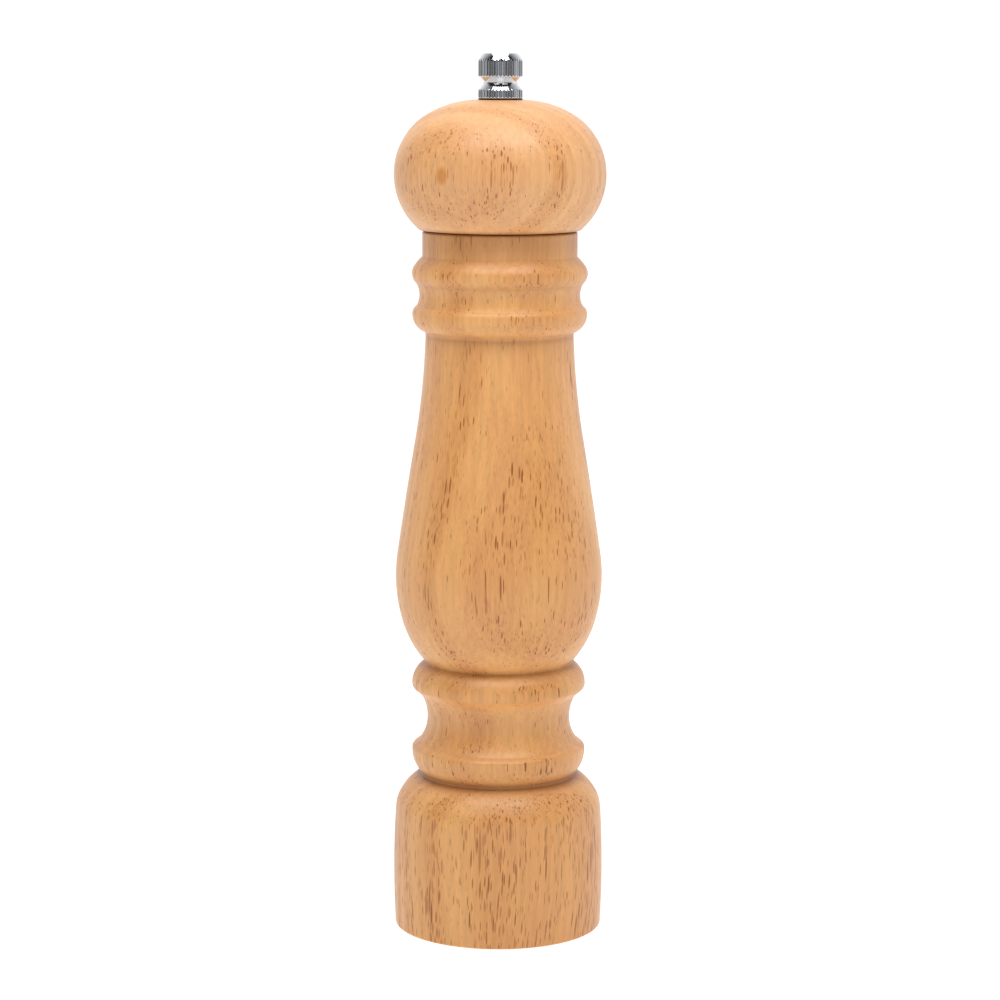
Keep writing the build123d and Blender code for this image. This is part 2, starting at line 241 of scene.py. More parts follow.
def surface(name: str, *grids: np.ndarray, ring: bool = False) -> Piece:
    """Makes one smooth-shaded mesh object from closed shells.

    Args:
        name: name of the object and its mesh.
        grids: one grid of points in millimetres for each shell, shaped (rows, columns, 3).
        ring: whether each grid's last row joins its first.

    Returns:
        The object, at the origin, linked to the scene.
    """
    points, quads, fans, count = [], [], [], 0
    for grid in grids:
        shell_points, shell_quads, shell_fans = shell_faces(grid, ring)
        points.append(shell_points)
        quads.append(shell_quads + count)
        fans.append(shell_fans + count)
        count += len(shell_points)
    loops = np.concatenate([faces.ravel() for faces in quads + fans])
    sizes = np.concatenate([np.full(len(faces), faces.shape[1]) for faces in quads + fans])
    mesh = bpy.data.meshes.new(name)
    mesh.vertices.add(count)
    mesh.vertices.foreach_set("co", (np.concatenate(points) * MM).ravel())
    mesh.loops.add(len(loops))
    mesh.loops.foreach_set("vertex_index", loops)
    mesh.polygons.add(len(sizes))
    mesh.polygons.foreach_set("loop_start", np.concatenate([[0], np.cumsum(sizes)[:-1]]))
    mesh.polygons.foreach_set("use_smooth", np.ones(len(sizes), bool))
    mesh.update(calc_edges=True)
    piece = bpy.data.objects.new(name, mesh)
    bpy.context.scene.collection.objects.link(piece)
    return piece


def lathe(name: str, outline: np.ndarray, sides: int) -> Piece:
    """Turns a closed section (radius, height) round Z: each row of the grid is one section point."""
    return surface(name, around_z(outline[:, :1], outline[:, 1:], columns(sides)), ring=True)


def plate_grid(
    inner: Lengths, outer: Lengths, low: float, high: float, angle: np.ndarray, edge: float
) -> np.ndarray:
    """Grid of a flat plate with a hole, both of any outline, with rounded edges.

    At each angle the section is a rectangle from the hole to the rim, walked once round, with each
    corner a quarter circle of the edge radius.

    Args:
        inner: hole radius at each angle.
        outer: rim radius at each angle.
        low: height of the underside.
        high: height of the top.
        angle: one row of column angles.
        edge: radius of the rounded edges.

    Returns:
        Grid whose rows follow the section and whose columns follow the angles.
    """
    quarter = np.linspace(0, math.pi / 2, EDGE_POINTS)
    step, rise = edge * (1 - np.cos(quarter)), edge * (1 - np.sin(quarter))
    flat = np.linspace(0, 1, 2 * EDGE_POINTS)[1:-1]
    none, hole_side = np.zeros_like(flat), np.zeros(EDGE_POINTS)
    side = np.concatenate([hole_side, flat, np.ones(2 * EDGE_POINTS), 1 - flat, hole_side])
    inset = np.concatenate([step, none, -step[::-1], -step, none, step[::-1]])
    under, top = low + rise, high - rise
    height = np.concatenate([under, none + low, under[::-1], top, none + high, top[::-1]])
    radius = inner + (outer - inner) * side[:, None] + inset[:, None]
    return around_z(radius, height[:, None], angle)


def span(node: str) -> Pair:
    """Lowest and highest height of a CAD node, in millimetres."""
    low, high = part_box(node)
    return low[2] / MM, high[2] / MM


def half_width(node: str) -> float:
    """Half the width of a CAD node along Y, in millimetres."""
    low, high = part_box(node)
    return (high[1] - low[1]) / 2 / MM


def plate(name: str, node: str, inner: Lengths, outer: Lengths, angle: np.ndarray, edge: float) -> Piece:
    """Makes a flat plate between the heights of its CAD node; its sizes are those of plate_grid.

    Args:
        name: name of the object.
        node: CAD node that gives the heights.
        inner: hole radius at each angle.
        outer: rim radius at each angle.
        angle: one row of column angles.
        edge: radius of the rounded edges.

    Returns:
        The plate.
    """
    return surface(name, plate_grid(inner, outer, *span(node), angle, edge), ring=True)


def squareness(angle: np.ndarray, power: float = 14.0) -> np.ndarray:
    """Radius of a square with rounded corners over its half width: the superellipse of that power."""
    reach = np.abs(np.cos(angle)) ** power + np.abs(np.sin(angle)) ** power
    return reach ** (-1 / power)


def from_nearest(angle: np.ndarray, count: int) -> np.ndarray:
    """Angle from the nearest of that many places evenly round the axis, the first one on +X."""
    pitch = FULL_TURN / count
    return (angle + pitch / 2) % pitch - pitch / 2


def v_grooves(angle: np.ndarray, count: int, radius: Lengths, depth: float) -> np.ndarray:
    """Depth of evenly spaced V grooves: the groove depth less the distance along the arc to the
    nearest groove's middle, and nowhere below zero."""
    return np.clip(depth - np.abs(from_nearest(angle, count)) * radius, 0, None)


def triangle_wave(turns: np.ndarray) -> np.ndarray:
    """Ridge shape of a cut thread or tooth: 1 at whole turns, 0 halfway between, straight between."""
    return np.abs(2 * (turns - np.floor(turns)) - 1)


def smooth_step(value: np.ndarray, low: float, high: float) -> np.ndarray:
    """0 below low, 1 above high, and an S-shaped cubic between."""
    share = np.clip((value - low) / (high - low), 0, 1)
    return share * share * (3 - 2 * share)


# ---- Nodes ----


def linear(colour: str) -> tuple[float, float, float, float]:
    """Turns an sRGB hex colour such as "#d9a06a" to linear red, green, blue and alpha.

    Args:
        colour: six hex digits after "#".

    Returns:
        Linear red, green and blue, and 1 for alpha.
    """
    parts = [int(colour[place:place + 2], 16) / 255 for place in (1, 3, 5)]
    lin = [part / 12.92 if part <= 0.04045 else ((part + 0.055) / 1.055) ** 2.4 for part in parts]
    return lin[0], lin[1], lin[2], 1.0


def add_node(tree: Tree, kind: str, inputs: dict[Any, Any] | None = None, **settings: Any) -> bpy.types.Node:
    """Adds one node with its settings, values and links.

    Args:
        tree: node tree that gets the node.
        kind: Blender's name of the node type.
        inputs: socket name or number to a value, or to the output socket that feeds it.
        settings: the node's own properties.

    Returns:
        The new node.
    """
    node = tree.nodes.new(kind)
    for key, value in settings.items():
        setattr(node, key, value)
    for socket, value in (inputs or {}).items():
        if isinstance(value, Socket):
            tree.links.new(value, node.inputs[socket])
        else:
            node.inputs[socket].default_value = value
    return node


def number(tree: Tree, operation: str, *values: Socket | float) -> Socket:
    """Result of one maths node."""
    return add_node(tree, "ShaderNodeMath", dict(enumerate(values)), operation=operation).outputs[0]


def vector(tree: Tree, operation: str, *values: Any) -> Socket:
    """Vector result of one vector maths node; a number given to it counts for all three parts."""
    return add_node(tree, "ShaderNodeVectorMath", dict(enumerate(values)), operation=operation).outputs[0]


def length(tree: Tree, place: Socket) -> Socket:
    """Distance of a place from the origin."""
    return add_node(tree, "ShaderNodeVectorMath", {0: place}, operation="LENGTH").outputs["Value"]


def noise(tree: Tree, place: Socket, scale: float, detail: float, output: str = "Fac") -> Socket:
    """Output of one noise texture."""
    inputs = {"Vector": place, "Scale": scale, "Detail": detail}
    return add_node(tree, "ShaderNodeTexNoise", inputs).outputs[output]


def remap(tree: Tree, value: Socket, source: Pair, target: Pair = (0.0, 1.0), smooth: bool = False) -> Socket:
    """Carries one range of values onto another, straight or as an S-shaped cubic, and clamps it.

    Args:
        tree: node tree that gets the nodes.
        value: what is carried over.
        source: range that it comes from.
        target: range that it is carried onto.
        smooth: whether the way between is an S-shaped cubic.

    Returns:
        The value in the target range.
    """
    kind = "SMOOTHSTEP" if smooth else "LINEAR"
    inputs = {"Value": value, "From Min": source[0], "From Max": source[1]}
    inputs |= {"To Min": target[0], "To Max": target[1]}
    return add_node(tree, "ShaderNodeMapRange", inputs, interpolation_type=kind).outputs[0]


def mix(tree: Tree, factor: Socket, *colours: Socket | str) -> Socket:
    """Mixes two colours, each a socket or an sRGB hex colour.

    Args:
        tree: node tree that gets the nodes.
        factor: share of the second colour.
        colours: the first and the second colour.

    Returns:
        The mixed colour.
    """
    first, second = (linear(colour) if isinstance(colour, str) else colour for colour in colours)
    inputs = {MIX_FACTOR: factor, MIX_A: first, MIX_B: second}
    return add_node(tree, "ShaderNodeMix", inputs, data_type="RGBA").outputs[MIX_RESULT]


def bump(tree: Tree, height: Socket, depth_mm: float, strength: float = 1.0) -> Socket:
    """Normal of a surface whose relief is the height times the depth."""
    inputs = {"Height": height, "Strength": strength, "Distance": depth_mm * MM}
    return add_node(tree, "ShaderNodeBump", inputs).outputs[0]


# ---- Finishes ----


@dataclass(frozen=True)
class Finish:
    """The look of a material and the record's slot that it fills; each kind adds its own nodes."""

    name: str
    slot: str

    def shader(self, tree: Tree) -> Socket:
        """Adds this look's nodes and returns their shader."""
        raise NotImplementedError

    def material(self) -> bpy.types.Material:
        """Builds the material at its first use and returns it.

        Returns:
            The material, the same one each time.
        """
        material = bpy.data.materials.get(self.name)
        if material is None:
            material = bpy.data.materials.new(self.name)
            material.use_nodes = True
            tree = material.node_tree
            tree.nodes.clear()
            add_node(tree, "ShaderNodeOutputMaterial", {"Surface": self.shader(tree)})
        return material


class Wear(Enum):
    """How a metal was left by its making: run of its marks in x, y and z, and their detail."""

    POLISHED = ((1.0, 1.0, 1.0), 1.0)
    ROLLED = ((0.3, 1.0, 1.0), 2.0)
    DRAWN = ((1.0, 1.0, 0.04), 2.0)
    HARDENED = ((1.0, 1.0, 1.0), 5.0)


@dataclass(frozen=True)
class Metal(Finish):
    """A bare or plated metal.

    The base colour varies a little with a cloudy noise, the roughness with a second one, and the
    bump carries the marks of the process: almost nothing on polish, long lines on drawn bar, short
    grains on rolled plate and a matt scale on hardened steel.
    """

    colour: str
    shade: str
    roughness: float
    spread: float
    cloud_mm: float
    mark_mm: float
    mark_depth_mm: float
    wear: Wear
    cloud_detail: float = 3.0
    mark_range: Pair = (0.3, 0.7)

    def shader(self, tree: Tree) -> Socket:
        """Adds the cloud, the marks and the metal under them.

        Args:
            tree: node tree that gets the nodes.

        Returns:
            The metal's shader.
        """
        place = add_node(tree, "ShaderNodeTexCoord").outputs["Object"]
        stretch, detail = self.wear.value
        run = vector(tree, "MULTIPLY", place, stretch)
        cloud = noise(tree, run, 1 / (self.cloud_mm * MM), self.cloud_detail)
        marks = noise(tree, run, 1 / (self.mark_mm * MM), detail)
        rough = (self.roughness - self.spread, self.roughness + self.spread)
        return add_node(tree, "ShaderNodeBsdfPrincipled", {
            "Base Color": mix(tree, cloud, self.shade, self.colour),
            "Metallic": 1.0,
            "Roughness": remap(tree, marks, self.mark_range, rough),
            "Normal": bump(tree, marks, self.mark_depth_mm),
        }).outputs[0]


# Chromium plate over polished zinc: almost a mirror, a little blue, with the faint swell of plating
CHROME_PLATE = Metal(
    "chromed_zinc_polished", "chrome", "#dcdee2", "#d2d5da", 0.05, 0.015, 4.0, 1.4, 0.002, Wear.POLISHED
)
# Case-hardened sintered steel: dark, matt and slightly mottled
BURR_STEEL = Metal(
    "burr_steel_hardened", "burr_steel", "#8d8c8b", "#6c6b6b", 0.42, 0.08, 3.0, 0.35, 0.02, Wear.HARDENED
)
# Bright zinc plate on stamped sheet: cloudy grey-white with short rolling grain
ZINC_PLATE = Metal(
    "zinc_plated_steel_stamped", "zinc_steel", "#c9cccf", "#b3b8bd", 0.3, 0.07, 5.0, 0.5, 0.01, Wear.ROLLED
)
# Drawn spring wire: bright grey with fine lines along its length
SPRING_WIRE = Metal(
    "spring_steel_drawn", "spring_steel", "#a9a9ab", "#8f9092", 0.25, 0.06, 2.0, 0.3, 0.006, Wear.DRAWN
)
# Extruded and drawn aluminium bar: pale, soft sheen, long die lines
ALUMINIUM_BAR = Metal(
    "aluminium_bar_drawn", "aluminium", "#d3d4d6", "#bfc1c4", 0.32, 0.06, 2.5, 0.25, 0.008, Wear.DRAWN
)
# Blackened spring steel: near-black with a dull sheen. It is the E-clip's own finish; on the nut's washer the
# near-black is painted contact shadow under the nut.
BLACK_OXIDE_AND_SHADE = Metal(
    "steel_black_oxide_and_painted_shade", "dark_steel", "#3a3633", "#2a2725", 0.42, 0.08, 2.0, 0.4, 0.008, Wear.HARDENED
)


@dataclass(frozen=True)
class GrainNoise:
    """A noise drawn out along the grain: width, length and detail of its grains, the range that it
    mostly keeps to, and the range which that is carried onto."""

    across_mm: float
    along_mm: float
    detail: float
    usual: Pair
    onto: Pair


@dataclass(frozen=True)
class VesselFamily:
    """Vessels of one size: their spacing across and along the grain, the greatest half width in
    cells of that spacing, and the share that is left out on faces across the grain."""

    across_mm: float
    along_mm: float
    half_width: float
    endgrain_loss: float


@dataclass(frozen=True)
class Rubberwood(Finish):
    """Turned rubberwood under a satin clear lacquer.

    The pattern is solid, cut from one log: growth rings are a noise of the distance from the log's
    pith, the fibres are noise drawn out along the grain, and the vessels are long thin capsules
    scattered along it. Where the lathe cuts along a capsule it shows a dark dash, and where it cuts
    across the grain only a dot. The lacquer is a coat with a soft sheen.
    """

    pith_mm: Pair
    lean: Pair
    along_mm: float
    # Colours
    light: str = "#e3a766"
    amber: str = "#cf8b4b"
    blush: str = "#d8985d"
    vessel: str = "#8a4400"
    # Colour of the painted shade in grooves, with the polish that pools there
    groove: str = "#8a4f22"
    fleck: str = "#c47a28"
    # Resin fleck: place on the finished piece, size, and how far it colours the wood
    fleck_mm: Station = (0.0, 0.0, 0.0)
    fleck_radius_mm: float = 0.0
    fleck_stretch: float = 0.7
    fleck_core: float = 0.3
    fleck_share: float = 0.75
    # Slow bend of the grain
    wander_mm: float = 2.4
    wander_scale_mm: float = 55.0
    wander_detail: float = 1.5
    # Growth rings, the broader figure, streaks and fibres
    ring_mm: float = 5.0
    ring_detail: float = 2.0
    ring_range: Pair = (0.36, 0.64)
    ring_share: float = 0.5
    figure: GrainNoise = GrainNoise(11.0, 30.0, 1.0, (0.35, 0.65), (0.0, 0.55))
    streaks: GrainNoise = GrainNoise(1.3, 45.0, 2.0, (0.38, 0.62), (0.95, 1.05))
    fibres: GrainNoise = GrainNoise(0.28, 7.0, 2.0, (0.3, 0.7), (0.92, 1.06))
    # Vessels: families, then the spread of their sizes and tones
    small_vessels: VesselFamily = VesselFamily(0.92, 11.0, 0.34, 0.8)
    long_vessels: VesselFamily = VesselFamily(1.5, 28.0, 0.24, 0.5)
    faint_vessels: VesselFamily = VesselFamily(0.6, 5.5, 0.4, 0.6)
    smallest_vessel: float = 0.35
    vessel_core: float = 0.55
    vessel_tone: Pair = (0.5, 1.0)
    # Where vessels crowd: in some rings, and toward the end of the blank that grew lowest
    crowd_range: Pair = (0.38, 0.62)
    crowd: Pair = (0.55, 1.2)
    dense_below_mm: float = 50.0
    dense_fade_mm: float = 20.0
    dense_gain: float = 0.22
    faint_share: Pair = (0.45, 0.85)
    # Stain in the pores, relief of the surface and the lacquer over it
    stain: float = 0.92
    fibre_relief: float = 0.25
    relief_mm: float = 0.04
    relief_strength: float = 0.6
    roughness: Pair = (0.5, 0.65)
    undercoat_specular: float = 0.15
    coat_weight: float = 0.75
    coat_roughness: float = 0.42
    coat_ior: float = 1.5

    def _in_log(self, tree: Tree) -> Socket:
        """Place in the log in millimetres, bent by a slow noise so that no fibre runs dead straight.

        Args:
            tree: node tree that gets the nodes.

        Returns:
            Place with the log's pith on Z and the grain running along it.
        """
        place = add_node(tree, "ShaderNodeTexCoord").outputs["Object"]
        log_place = add_node(tree, "ShaderNodeMapping", {
            "Vector": place, "Scale": (1 / MM, 1 / MM, 1 / MM), "Rotation": (*self.lean, 0),
            "Location": (-self.pith_mm[0], -self.pith_mm[1], self.along_mm),
        }).outputs[0]
        slow = noise(tree, log_place, 1 / self.wander_scale_mm, self.wander_detail, "Color")
        centred = vector(tree, "SUBTRACT", slow, (0.5, 0.5, 0.5))
        reach = 2 * self.wander_mm
        return vector(tree, "ADD", log_place, vector(tree, "MULTIPLY", centred, (reach, reach, 0)))

    def _cells(self, tree: Tree, grain: Socket, pattern: GrainNoise | VesselFamily) -> Socket:
        """Place counted in a pattern's own spacing across and along the grain."""
        across, along = 1 / pattern.across_mm, 1 / pattern.along_mm
        return vector(tree, "MULTIPLY", grain, (across, across, along))

    def _vessels(self, tree: Tree, grain: Socket, crowd: Socket, family: VesselFamily) -> Socket:
        """Mask of one family of vessels.

        One capsule lies in each cell of a scatter. Its half width is the family's, times a random
        share, times the crowding. Where the surface faces along the grain, only the capsules whose
        second random number beats the loss are kept. The third sets how dark a capsule is.

        Args:
            tree: node tree of the wood.
            grain: place in the log.
            crowd: how thick the vessels stand there, about 1.
            family: size and spacing of the vessels.

        Returns:
            Socket from 0 on plain wood to 1 in the darkest vessel.
        """
        place = self._cells(tree, grain, family)
        cells = add_node(tree, "ShaderNodeTexVoronoi", {"Vector": place, "Scale": 1.0, "Randomness": 1.0})
        chance = add_node(tree, "ShaderNodeSeparateColor", {"Color": cells.outputs["Color"]}).outputs
        widths = (self.smallest_vessel * family.half_width, family.half_width)
        reach = number(tree, "MULTIPLY", remap(tree, chance[0], (0.0, 1.0), widths), crowd)
        core = number(tree, "MULTIPLY", reach, self.vessel_core)
        mask = remap(tree, cells.outputs["Distance"], (reach, core), smooth=True)
        normal = add_node(tree, "ShaderNodeNewGeometry").outputs["Normal"]
        facing = add_node(tree, "ShaderNodeSeparateXYZ", {0: normal}).outputs[2]
        loss = number(tree, "MULTIPLY", number(tree, "MULTIPLY", facing, facing), family.endgrain_loss)
        shown = number(tree, "MULTIPLY", mask, number(tree, "GREATER_THAN", chance[1], loss))
        return number(tree, "MULTIPLY", shown, remap(tree, chance[2], (0.0, 1.0), self.vessel_tone))

    def _add_fleck(self, tree: Tree, grain: Socket, wood: Socket) -> Socket:
        """Adds one resin fleck: an amber spot round a point, drawn out a little along the grain.

        Args:
            tree: node tree that gets the nodes.
            grain: place in the log.
            wood: colour of the plain wood.

        Returns:
            The colour with the fleck in it.
        """
        turned = Euler((*self.lean, 0)).to_matrix() @ Vector(self.fleck_mm)
        centre = turned + Vector((-self.pith_mm[0], -self.pith_mm[1], self.along_mm))
        away = vector(tree, "SUBTRACT", grain, centre)
        distance = length(tree, vector(tree, "MULTIPLY", away, (1, 1, self.fleck_stretch)))
        edge = (self.fleck_radius_mm, self.fleck_core * self.fleck_radius_mm)
        return mix(tree, remap(tree, distance, edge, (0.0, self.fleck_share), smooth=True), wood, self.fleck)

    def shader(self, tree: Tree) -> Socket:
        """Adds the rings and figure, the fleck, the fibres' tone, the vessels, the painted shade in the
        grooves with the polish that pools there, and the lacquer over them.

        Args:
            tree: node tree that gets the nodes.

        Returns:
            The lacquered wood's shader.
        """
        grain = self._in_log(tree)
        from_pith = length(tree, vector(tree, "MULTIPLY", grain, (1, 1, 0)))
        turns = number(tree, "MULTIPLY", from_pith, 1 / self.ring_mm)
        inputs = {"W": turns, "Scale": 1.0, "Detail": self.ring_detail}
        rings = add_node(tree, "ShaderNodeTexNoise", inputs, noise_dimensions="1D").outputs["Fac"]
        figure, streaks, fibres = (
            noise(tree, self._cells(tree, grain, kind), 1.0, kind.detail)
            for kind in (self.figure, self.streaks, self.fibres)
        )

        ring_share = remap(tree, rings, self.ring_range, (0.0, self.ring_share), smooth=True)
        wood = mix(tree, ring_share, self.light, self.amber)
        blush_share = remap(tree, figure, self.figure.usual, self.figure.onto, smooth=True)
        wood = mix(tree, blush_share, wood, self.blush)
        if self.fleck_radius_mm:
            wood = self._add_fleck(tree, grain, wood)
        streak_tone = remap(tree, streaks, self.streaks.usual, self.streaks.onto)
        fibre_tone = remap(tree, fibres, self.fibres.usual, self.fibres.onto)
        wood = vector(tree, "MULTIPLY", wood, number(tree, "MULTIPLY", streak_tone, fibre_tone))

        up_log = add_node(tree, "ShaderNodeSeparateXYZ", {0: grain}).outputs[2]
        dense_end = self.along_mm + self.dense_below_mm
        dense = remap(tree, up_log, (dense_end, dense_end - self.dense_fade_mm))
        ring_crowd = remap(tree, rings, self.crowd_range, self.crowd)
        crowd = number(tree, "MULTIPLY_ADD", dense, self.dense_gain, ring_crowd)
        small, long, faint = (
            self._vessels(tree, grain, crowd, family)
            for family in (self.small_vessels, self.long_vessels, self.faint_vessels)
        )
        faint = number(tree, "MULTIPLY", faint, remap(tree, dense, (0.0, 1.0), self.faint_share))
        vessels = number(tree, "MAXIMUM", number(tree, "MAXIMUM", small, long), faint)
        wood = mix(tree, number(tree, "MULTIPLY", vessels, self.stain), wood, self.vessel)
        # Painted shade in grooves, notches, neck and head seam, with the polish that pools in the grooves,
        # read from the vertex attribute
        shade_and_pooling = add_node(tree, "ShaderNodeAttribute", attribute_name=GROOVE_SHADE_ATTRIBUTE).outputs["Fac"]

        dip = number(tree, "MULTIPLY", vessels, -1.0)
        height = number(tree, "MULTIPLY_ADD", fibres, self.fibre_relief, dip)
        return add_node(tree, "ShaderNodeBsdfPrincipled", {
            "Base Color": mix(tree, shade_and_pooling, wood, self.groove),
            "Roughness": remap(tree, vessels, (0.0, 1.0), self.roughness),
            "Normal": bump(tree, height, self.relief_mm, self.relief_strength),
            "Specular IOR Level": self.undercoat_specular,
            "Coat Weight": self.coat_weight,
            "Coat Roughness": self.coat_roughness,
            "Coat IOR": self.coat_ior,
        }).outputs[0]


# Two blanks of the same timber: the body's log centre lay behind it to the left, the head's to the right
BODY_WOOD = Rubberwood("rubberwood_body_lacquered", "rubberwood", (-24.0, 44.0), (0.02, -0.015), 310.0)
# The head's colours are paler and whiter than the body's: painted sheen for the soft overhead light on the
# head's upper half, spread over the whole head
HEAD_WOOD = Rubberwood(
    "rubberwood_head_lacquered", "rubberwood", (30.0, 38.0), (0.02, 0.015), 905.0, light="#e4ad75",
    blush="#dca16c", fleck_mm=(-16.8, -25.2, 220.0), fleck_radius_mm=2.5,
)


@dataclass(frozen=True)
class MattPaint(Finish):
    """Matt paint that gives off a little light of its own, so that a pale floor stays even."""

    colour: str
    roughness: float
    glow: float

    def shader(self, tree: Tree) -> Socket:
        """Adds the paint.

        Args:
            tree: node tree that gets the nodes.

        Returns:
            The paint's shader.
        """
        return add_node(tree, "ShaderNodeBsdfPrincipled", {
            "Base Color": linear(self.colour), "Roughness": self.roughness,
            "Emission Color": linear("#ffffff"), "Emission Strength": self.glow,
        }).outputs[0]


# Pale grey floor paint; it stands for no slot of the record
FLOOR_PAINT = MattPaint("painted_floor_matt", "", "#a2a2a1", 0.9, 0.92)


def dress(piece: Piece, finish: Finish) -> None:
    """Gives a piece its only material.

    Args:
        piece: object to dress.
        finish: its finish.
    """
    piece.data.materials.clear()
    piece.data.materials.append(finish.material())


def fit(piece: Piece, body: str, node: str, finish: Finish) -> None:
    """Dresses a piece, lets it ride on its body, takes the CAD node's place and reports it.

    Args:
        piece: finished mesh object.
        body: body that carries it.
        node: CAD node that it stands for.
        finish: its finish.
    """
    dress(piece, finish)
    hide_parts(node)
    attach(piece, body)
    log.info("%s stands for %s on %s, %d faces", piece.name, node, body, len(piece.data.polygons))


def paint_groove_shade(piece: Piece, bells: Sequence[Station]) -> None:
    """Stores at each vertex the strength of the painted shade in grooves, with the lacquer and polish that
    pool there.

    The value is the highest of some bell curves of the vertex's height.

    Args:
        piece: turned piece.
        bells: (height, half width, greatest value) of each curve, lengths in millimetres.
    """
    mesh = piece.data
    points = np.empty(len(mesh.vertices) * 3)
    mesh.vertices.foreach_get("co", points)
    z = points.reshape(-1, 3)[:, 2:] / MM
    middle, reach, depth = np.array(bells).T
    shade_and_pooling = (depth * np.exp(-((z - middle) / reach) ** 2)).max(axis=1)
    layer = mesh.attributes.new(GROOVE_SHADE_ATTRIBUTE, "FLOAT", "POINT")
    layer.data.foreach_set("value", shade_and_pooling)


# ---- Wooden parts ----


@dataclass
class TurnedBody:
    """The turned body: foot, two beads with a cove between, barrel, two collar beads and neck.

    Radii and rises run from the foot upward and are the CAD part's; the barrel takes the height
    that the other stretches leave of the node's own height. The notches are given as the numbers
    of their stations, and the reach and the strength of the shade painted in them, which stands
    for the shade there and the polish that pools there. The neck gets a band of painted shade.
    """

    foot_radius: float = 30.16
    foot_height: float = 34.0
    foot_edge: float = 0.5
    shoulder_height: float = 10.3
    bead_radius: float = 25.2
    notch_radius: float = 22.8
    lower_cove_radius: float = 20.75
    lower_cove_height: float = 14.15
    barrel_radius: float = 29.95
    waist_radius: float = 21.3
    upper_cove_radius: float = 23.95
    neck_radius: float = 22.25
    neck_height: float = 6.8
    neck_edge: float = 0.4
    recess_radius: float = 24.3
    seat_radius: float = 17.5
    hopper_radius: float = 13.5
    hopper_edge: float = 0.8
    corner: float = 0.16
    spacing: float = 0.55
    sides: int = 192
    barrel_shares: tuple[float, ...] = (0.143, 0.132, 0.064, 0.340, 0.317)
    # Painted shade in the notches, with the polish that pools there: stations, reach and darkness
    foot_notch: tuple[tuple[int, ...], float, float] = ((4, 5), 1.1, 0.6)
    notches: tuple[tuple[int, ...], float, float] = ((12, 13, 18, 19, 22, 24), 0.9, 0.2)
    # Band of painted shade on the neck, under the head's overhang
    neck_reach: float = 0.7
    neck_painted_shade: float = 0.3

    def steps(self, barrel: float) -> list[Station]:
        """(radius, rise, bulge) of each stretch from the foot's underside to the neck's rim.

        Args:
            barrel: height of the barrel over the sum of its shares.

        Returns:
            The turned steps.
        """
        bead, cove = self.bead_radius, self.lower_cove_radius
        below, swell, crest, flank, throat = (share * barrel for share in self.barrel_shares)
        return [
            (self.foot_radius - self.foot_edge, 0.0, 0.0),
            (self.foot_radius, 0.8, 0.19),
            (self.foot_radius - 0.1, self.foot_height, 0.5),
            (self.foot_radius - 2.0, 0.53 * self.shoulder_height, 0.42),
            (self.notch_radius - 0.2, 0.47 * self.shoulder_height, 0.6),
            (self.notch_radius, 0.8, 0.0),
            (bead, 7.25, 0.8),
            (bead - 1.65, 1.3, 0.15),
            (cove, 0.52 * self.lower_cove_height, -0.7),
            (cove + 1.7, 0.48 * self.lower_cove_height, -0.45),
            (bead - 0.75, 1.8, 0.0),
            (bead, 1.2, 0.18),
            (self.notch_radius - 1.1, 6.5, 1.1),
            (self.notch_radius - 1.45, 0.4, 0.0),
            (self.barrel_radius - 1.43, below, 0.98),
            (self.barrel_radius, swell, 0.44),
            (self.barrel_radius - 0.55, crest, 0.09),
            (self.barrel_radius - 5.65, flank, 0.09),
            (self.waist_radius, throat, -0.53),
            (self.waist_radius + 0.15, 0.9, 0.0),
            (bead - 0.1, 5.45, 1.12),
            (self.upper_cove_radius, 1.95, 0.3),
            (self.upper_cove_radius, 6.55, -0.88),
            (bead - 0.75, 5.15, 1.0),
            (self.neck_radius, 2.5, 0.1),
            (self.neck_radius, self.neck_height, 0.0),
            (self.neck_radius - self.neck_edge, self.neck_edge, 0.0),
        ]

    def build(self) -> Piece:
        """Turns the outside, the hopper bore, the burr seat and the recess as one closed section.

        Returns:
            The body.
        """
        low, high = span("wooden_body")
        others = climb(low, self.steps(0.0))[-1][1]
        barrel = (high - others) / sum(self.barrel_shares)
        outside = climb(low, self.steps(barrel))
        seat_low, seat_high = span("stator_ring")[0], span("spindle_bridge")[1]
        inside = [
            (self.hopper_radius + self.hopper_edge, high, 0.0),
            (self.hopper_radius, high - self.hopper_edge, 0.0),
            (self.hopper_radius, seat_high, 0.0),
            (self.seat_radius, seat_high, 0.0),
            (self.seat_radius, seat_low, 0.0),
            (self.recess_radius, seat_low, 0.0),
            (self.recess_radius, low, 0.0),
        ]
        section = turned_outline(outside + inside, self.spacing, self.corner)
        piece = lathe("turned_body", section, self.sides)
        bells = [
            (outside[station][1], reach, tone)
            for stations, reach, tone in (self.notches, self.foot_notch) for station in stations
        ]
        # The neck's band of painted shade, under the head's overhang
        bells.append((high - self.neck_height / 2, self.neck_reach * self.neck_height, self.neck_painted_shade))
        paint_groove_shade(piece, bells)
        return piece

    def dress(self, piece: Piece) -> None:
        """Gives the body its wood."""
        fit(piece, "mill_body", "wooden_body", BODY_WOOD)


